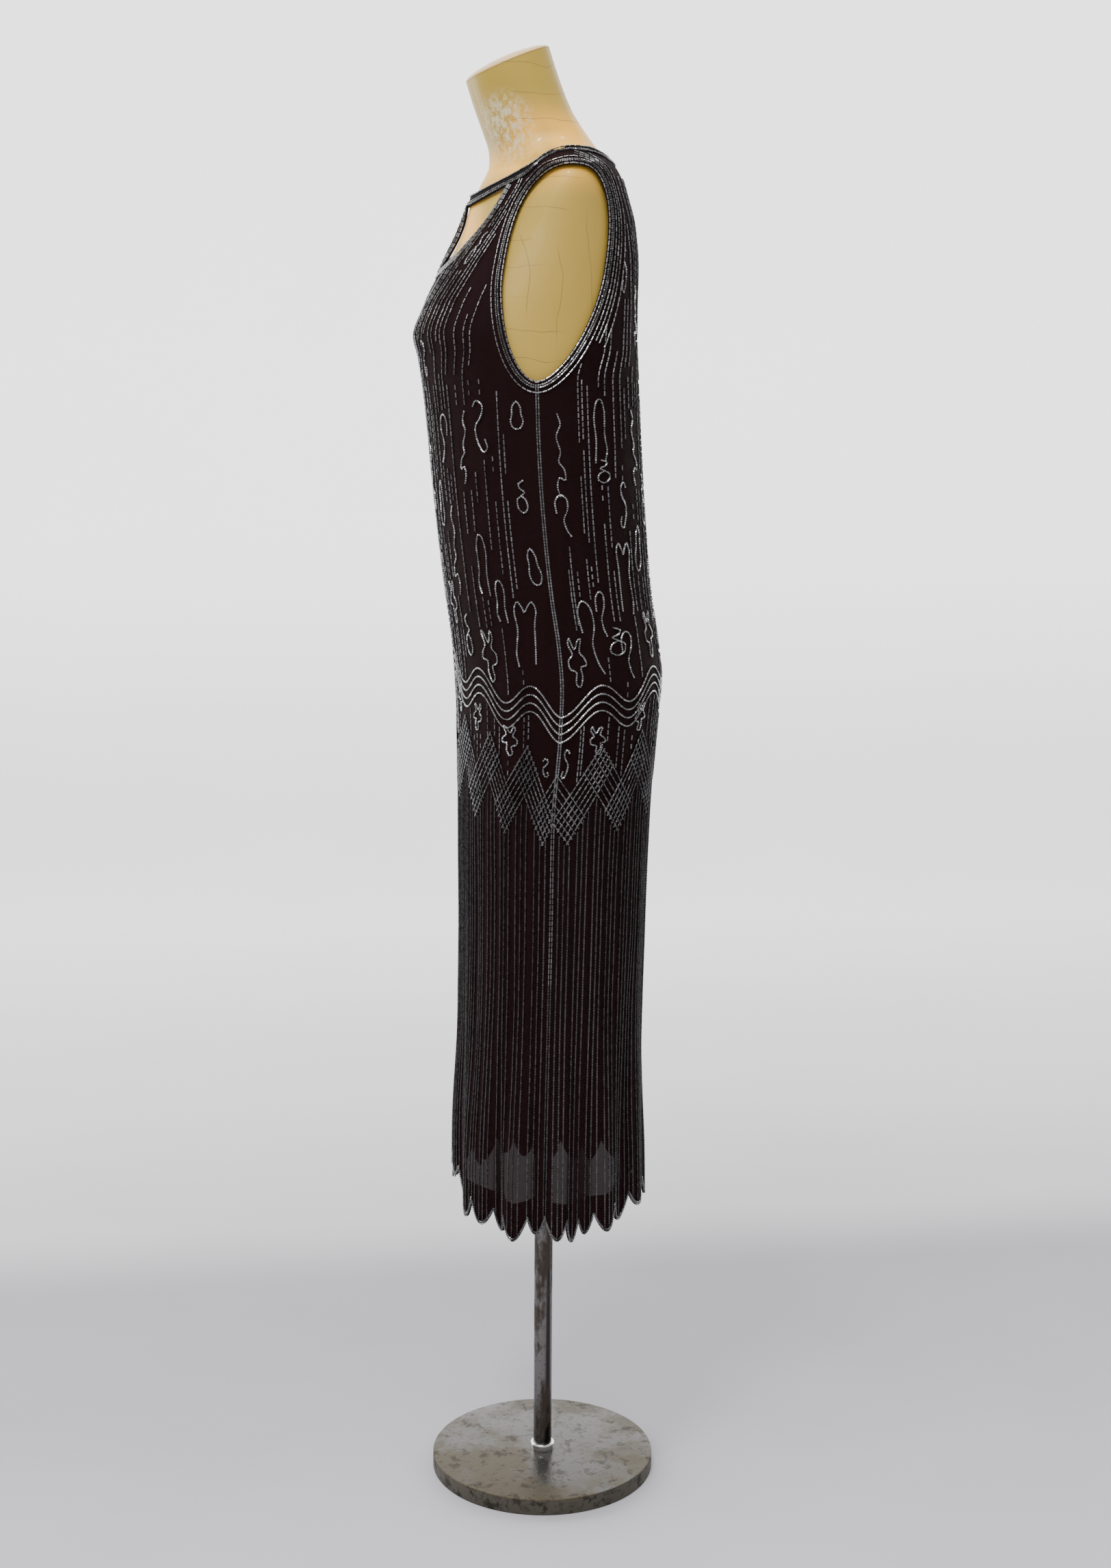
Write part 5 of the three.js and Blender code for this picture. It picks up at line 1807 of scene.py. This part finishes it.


# %% [markdown]
# ## Glass
#
# The bodice's beads are grey glass with a bright lining, waves and motifs are
# silver, the zigzags smoky, and the skirt's beads nearly black: jet glass, and
# partly painted shade for the weaker light low on the dress. No two are quite
# alike, so tone and gloss follow each bead's random number.


# %% String the beads
def glass_paint(dark, bright, metal):
    def paint(wire):
        tone = wire.node("ShaderNodeAttribute", {}, output="Fac", attribute_name="tone")
        dust = noise(wire, 180.0, 2.0)
        rows = noise(wire, 110.0, 1.0, (1, 1, 0.02)).step(0.3, 0.7)
        return {
            "Base Color": (tone * 0.55 + dust * 0.15 + rows * 0.3).mix(dark, bright),
            "Metallic": metal,
            "Roughness": 0.16 + tone * 0.14 + dust * 0.08,
            "Coat Weight": 0.5 - dust * 0.3,
            "Coat Roughness": 0.06,
        }

    return paint


grey_glass = finish("grey_glass", glass_paint((0.055, 0.053, 0.055), (0.33, 0.325, 0.33), 0.85))
silver_glass = finish("silver_glass", glass_paint((0.13, 0.13, 0.133), (0.52, 0.52, 0.53), 0.85))
smoky_glass = finish("smoky_glass", glass_paint((0.028, 0.027, 0.028), (0.21, 0.207, 0.21), 0.8))
# Jet glass for the skirt, its darkness partly painted shade for the weaker light low on the dress.
jet_glass_with_painted_shade = finish("jet_glass_with_painted_shade", glass_paint((0.004, 0.0035, 0.0037), (0.10, 0.095, 0.095), 0.7))
BUGLE = {"Pitch": 0.0064, "Radius": 0.00085, "Length": 0.0053, "Tilt": 0.05, "Sides": 6}
SHORT = {"Pitch": 0.0033, "Radius": 0.00085, "Length": 0.0027, "Tilt": 0.06, "Sides": 5}
SEED = {"Pitch": 0.0026, "Radius": 0.0010, "Length": 0.0019, "Tilt": 0.15, "Sides": 6}
KINDS = {
    "bodice": (BUGLE, grey_glass),
    "border": (BUGLE, grey_glass),
    "ladder": (SEED, smoky_glass),
    "motif": (SEED, silver_glass),
    "wave": (SEED, silver_glass),
    "seam": (SHORT, grey_glass),
    "strap": (BUGLE, grey_glass),
    "zigzag": (BUGLE, smoky_glass),
    # Skirt beads: jet glass, partly painted shade.
    "skirt": (SHORT, jet_glass_with_painted_shade),
    "hem": (SEED, smoky_glass),
}
beads_on = {"front": [], "back": [], "neck": [], "strap": []}
for seed, (name, paths) in enumerate(threads.items()):
    words = name.split("_")
    kind, material = KINDS[words[1] if words[0] == "neck" else words[0]]
    piece = strung(name, paths, seed, kind, material)
    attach(piece, "root")
    "bead_band" if words[0] in ("neck", "strap") else "beaded_chiffon"
    beads_on[words[-1] if words[-1] in beads_on else words[0]].append(piece)
    print(name, sum(len(p.vertices) - 2 for p in piece.data.polygons), "triangles")

# %% [markdown]
# ## The facings' widths
#
# Each facing's width in metres is multiplied by a factor, and the product is
# not kept.

for obj, width in zip(facings, (0.43, 0.47)):
    width * 0.039
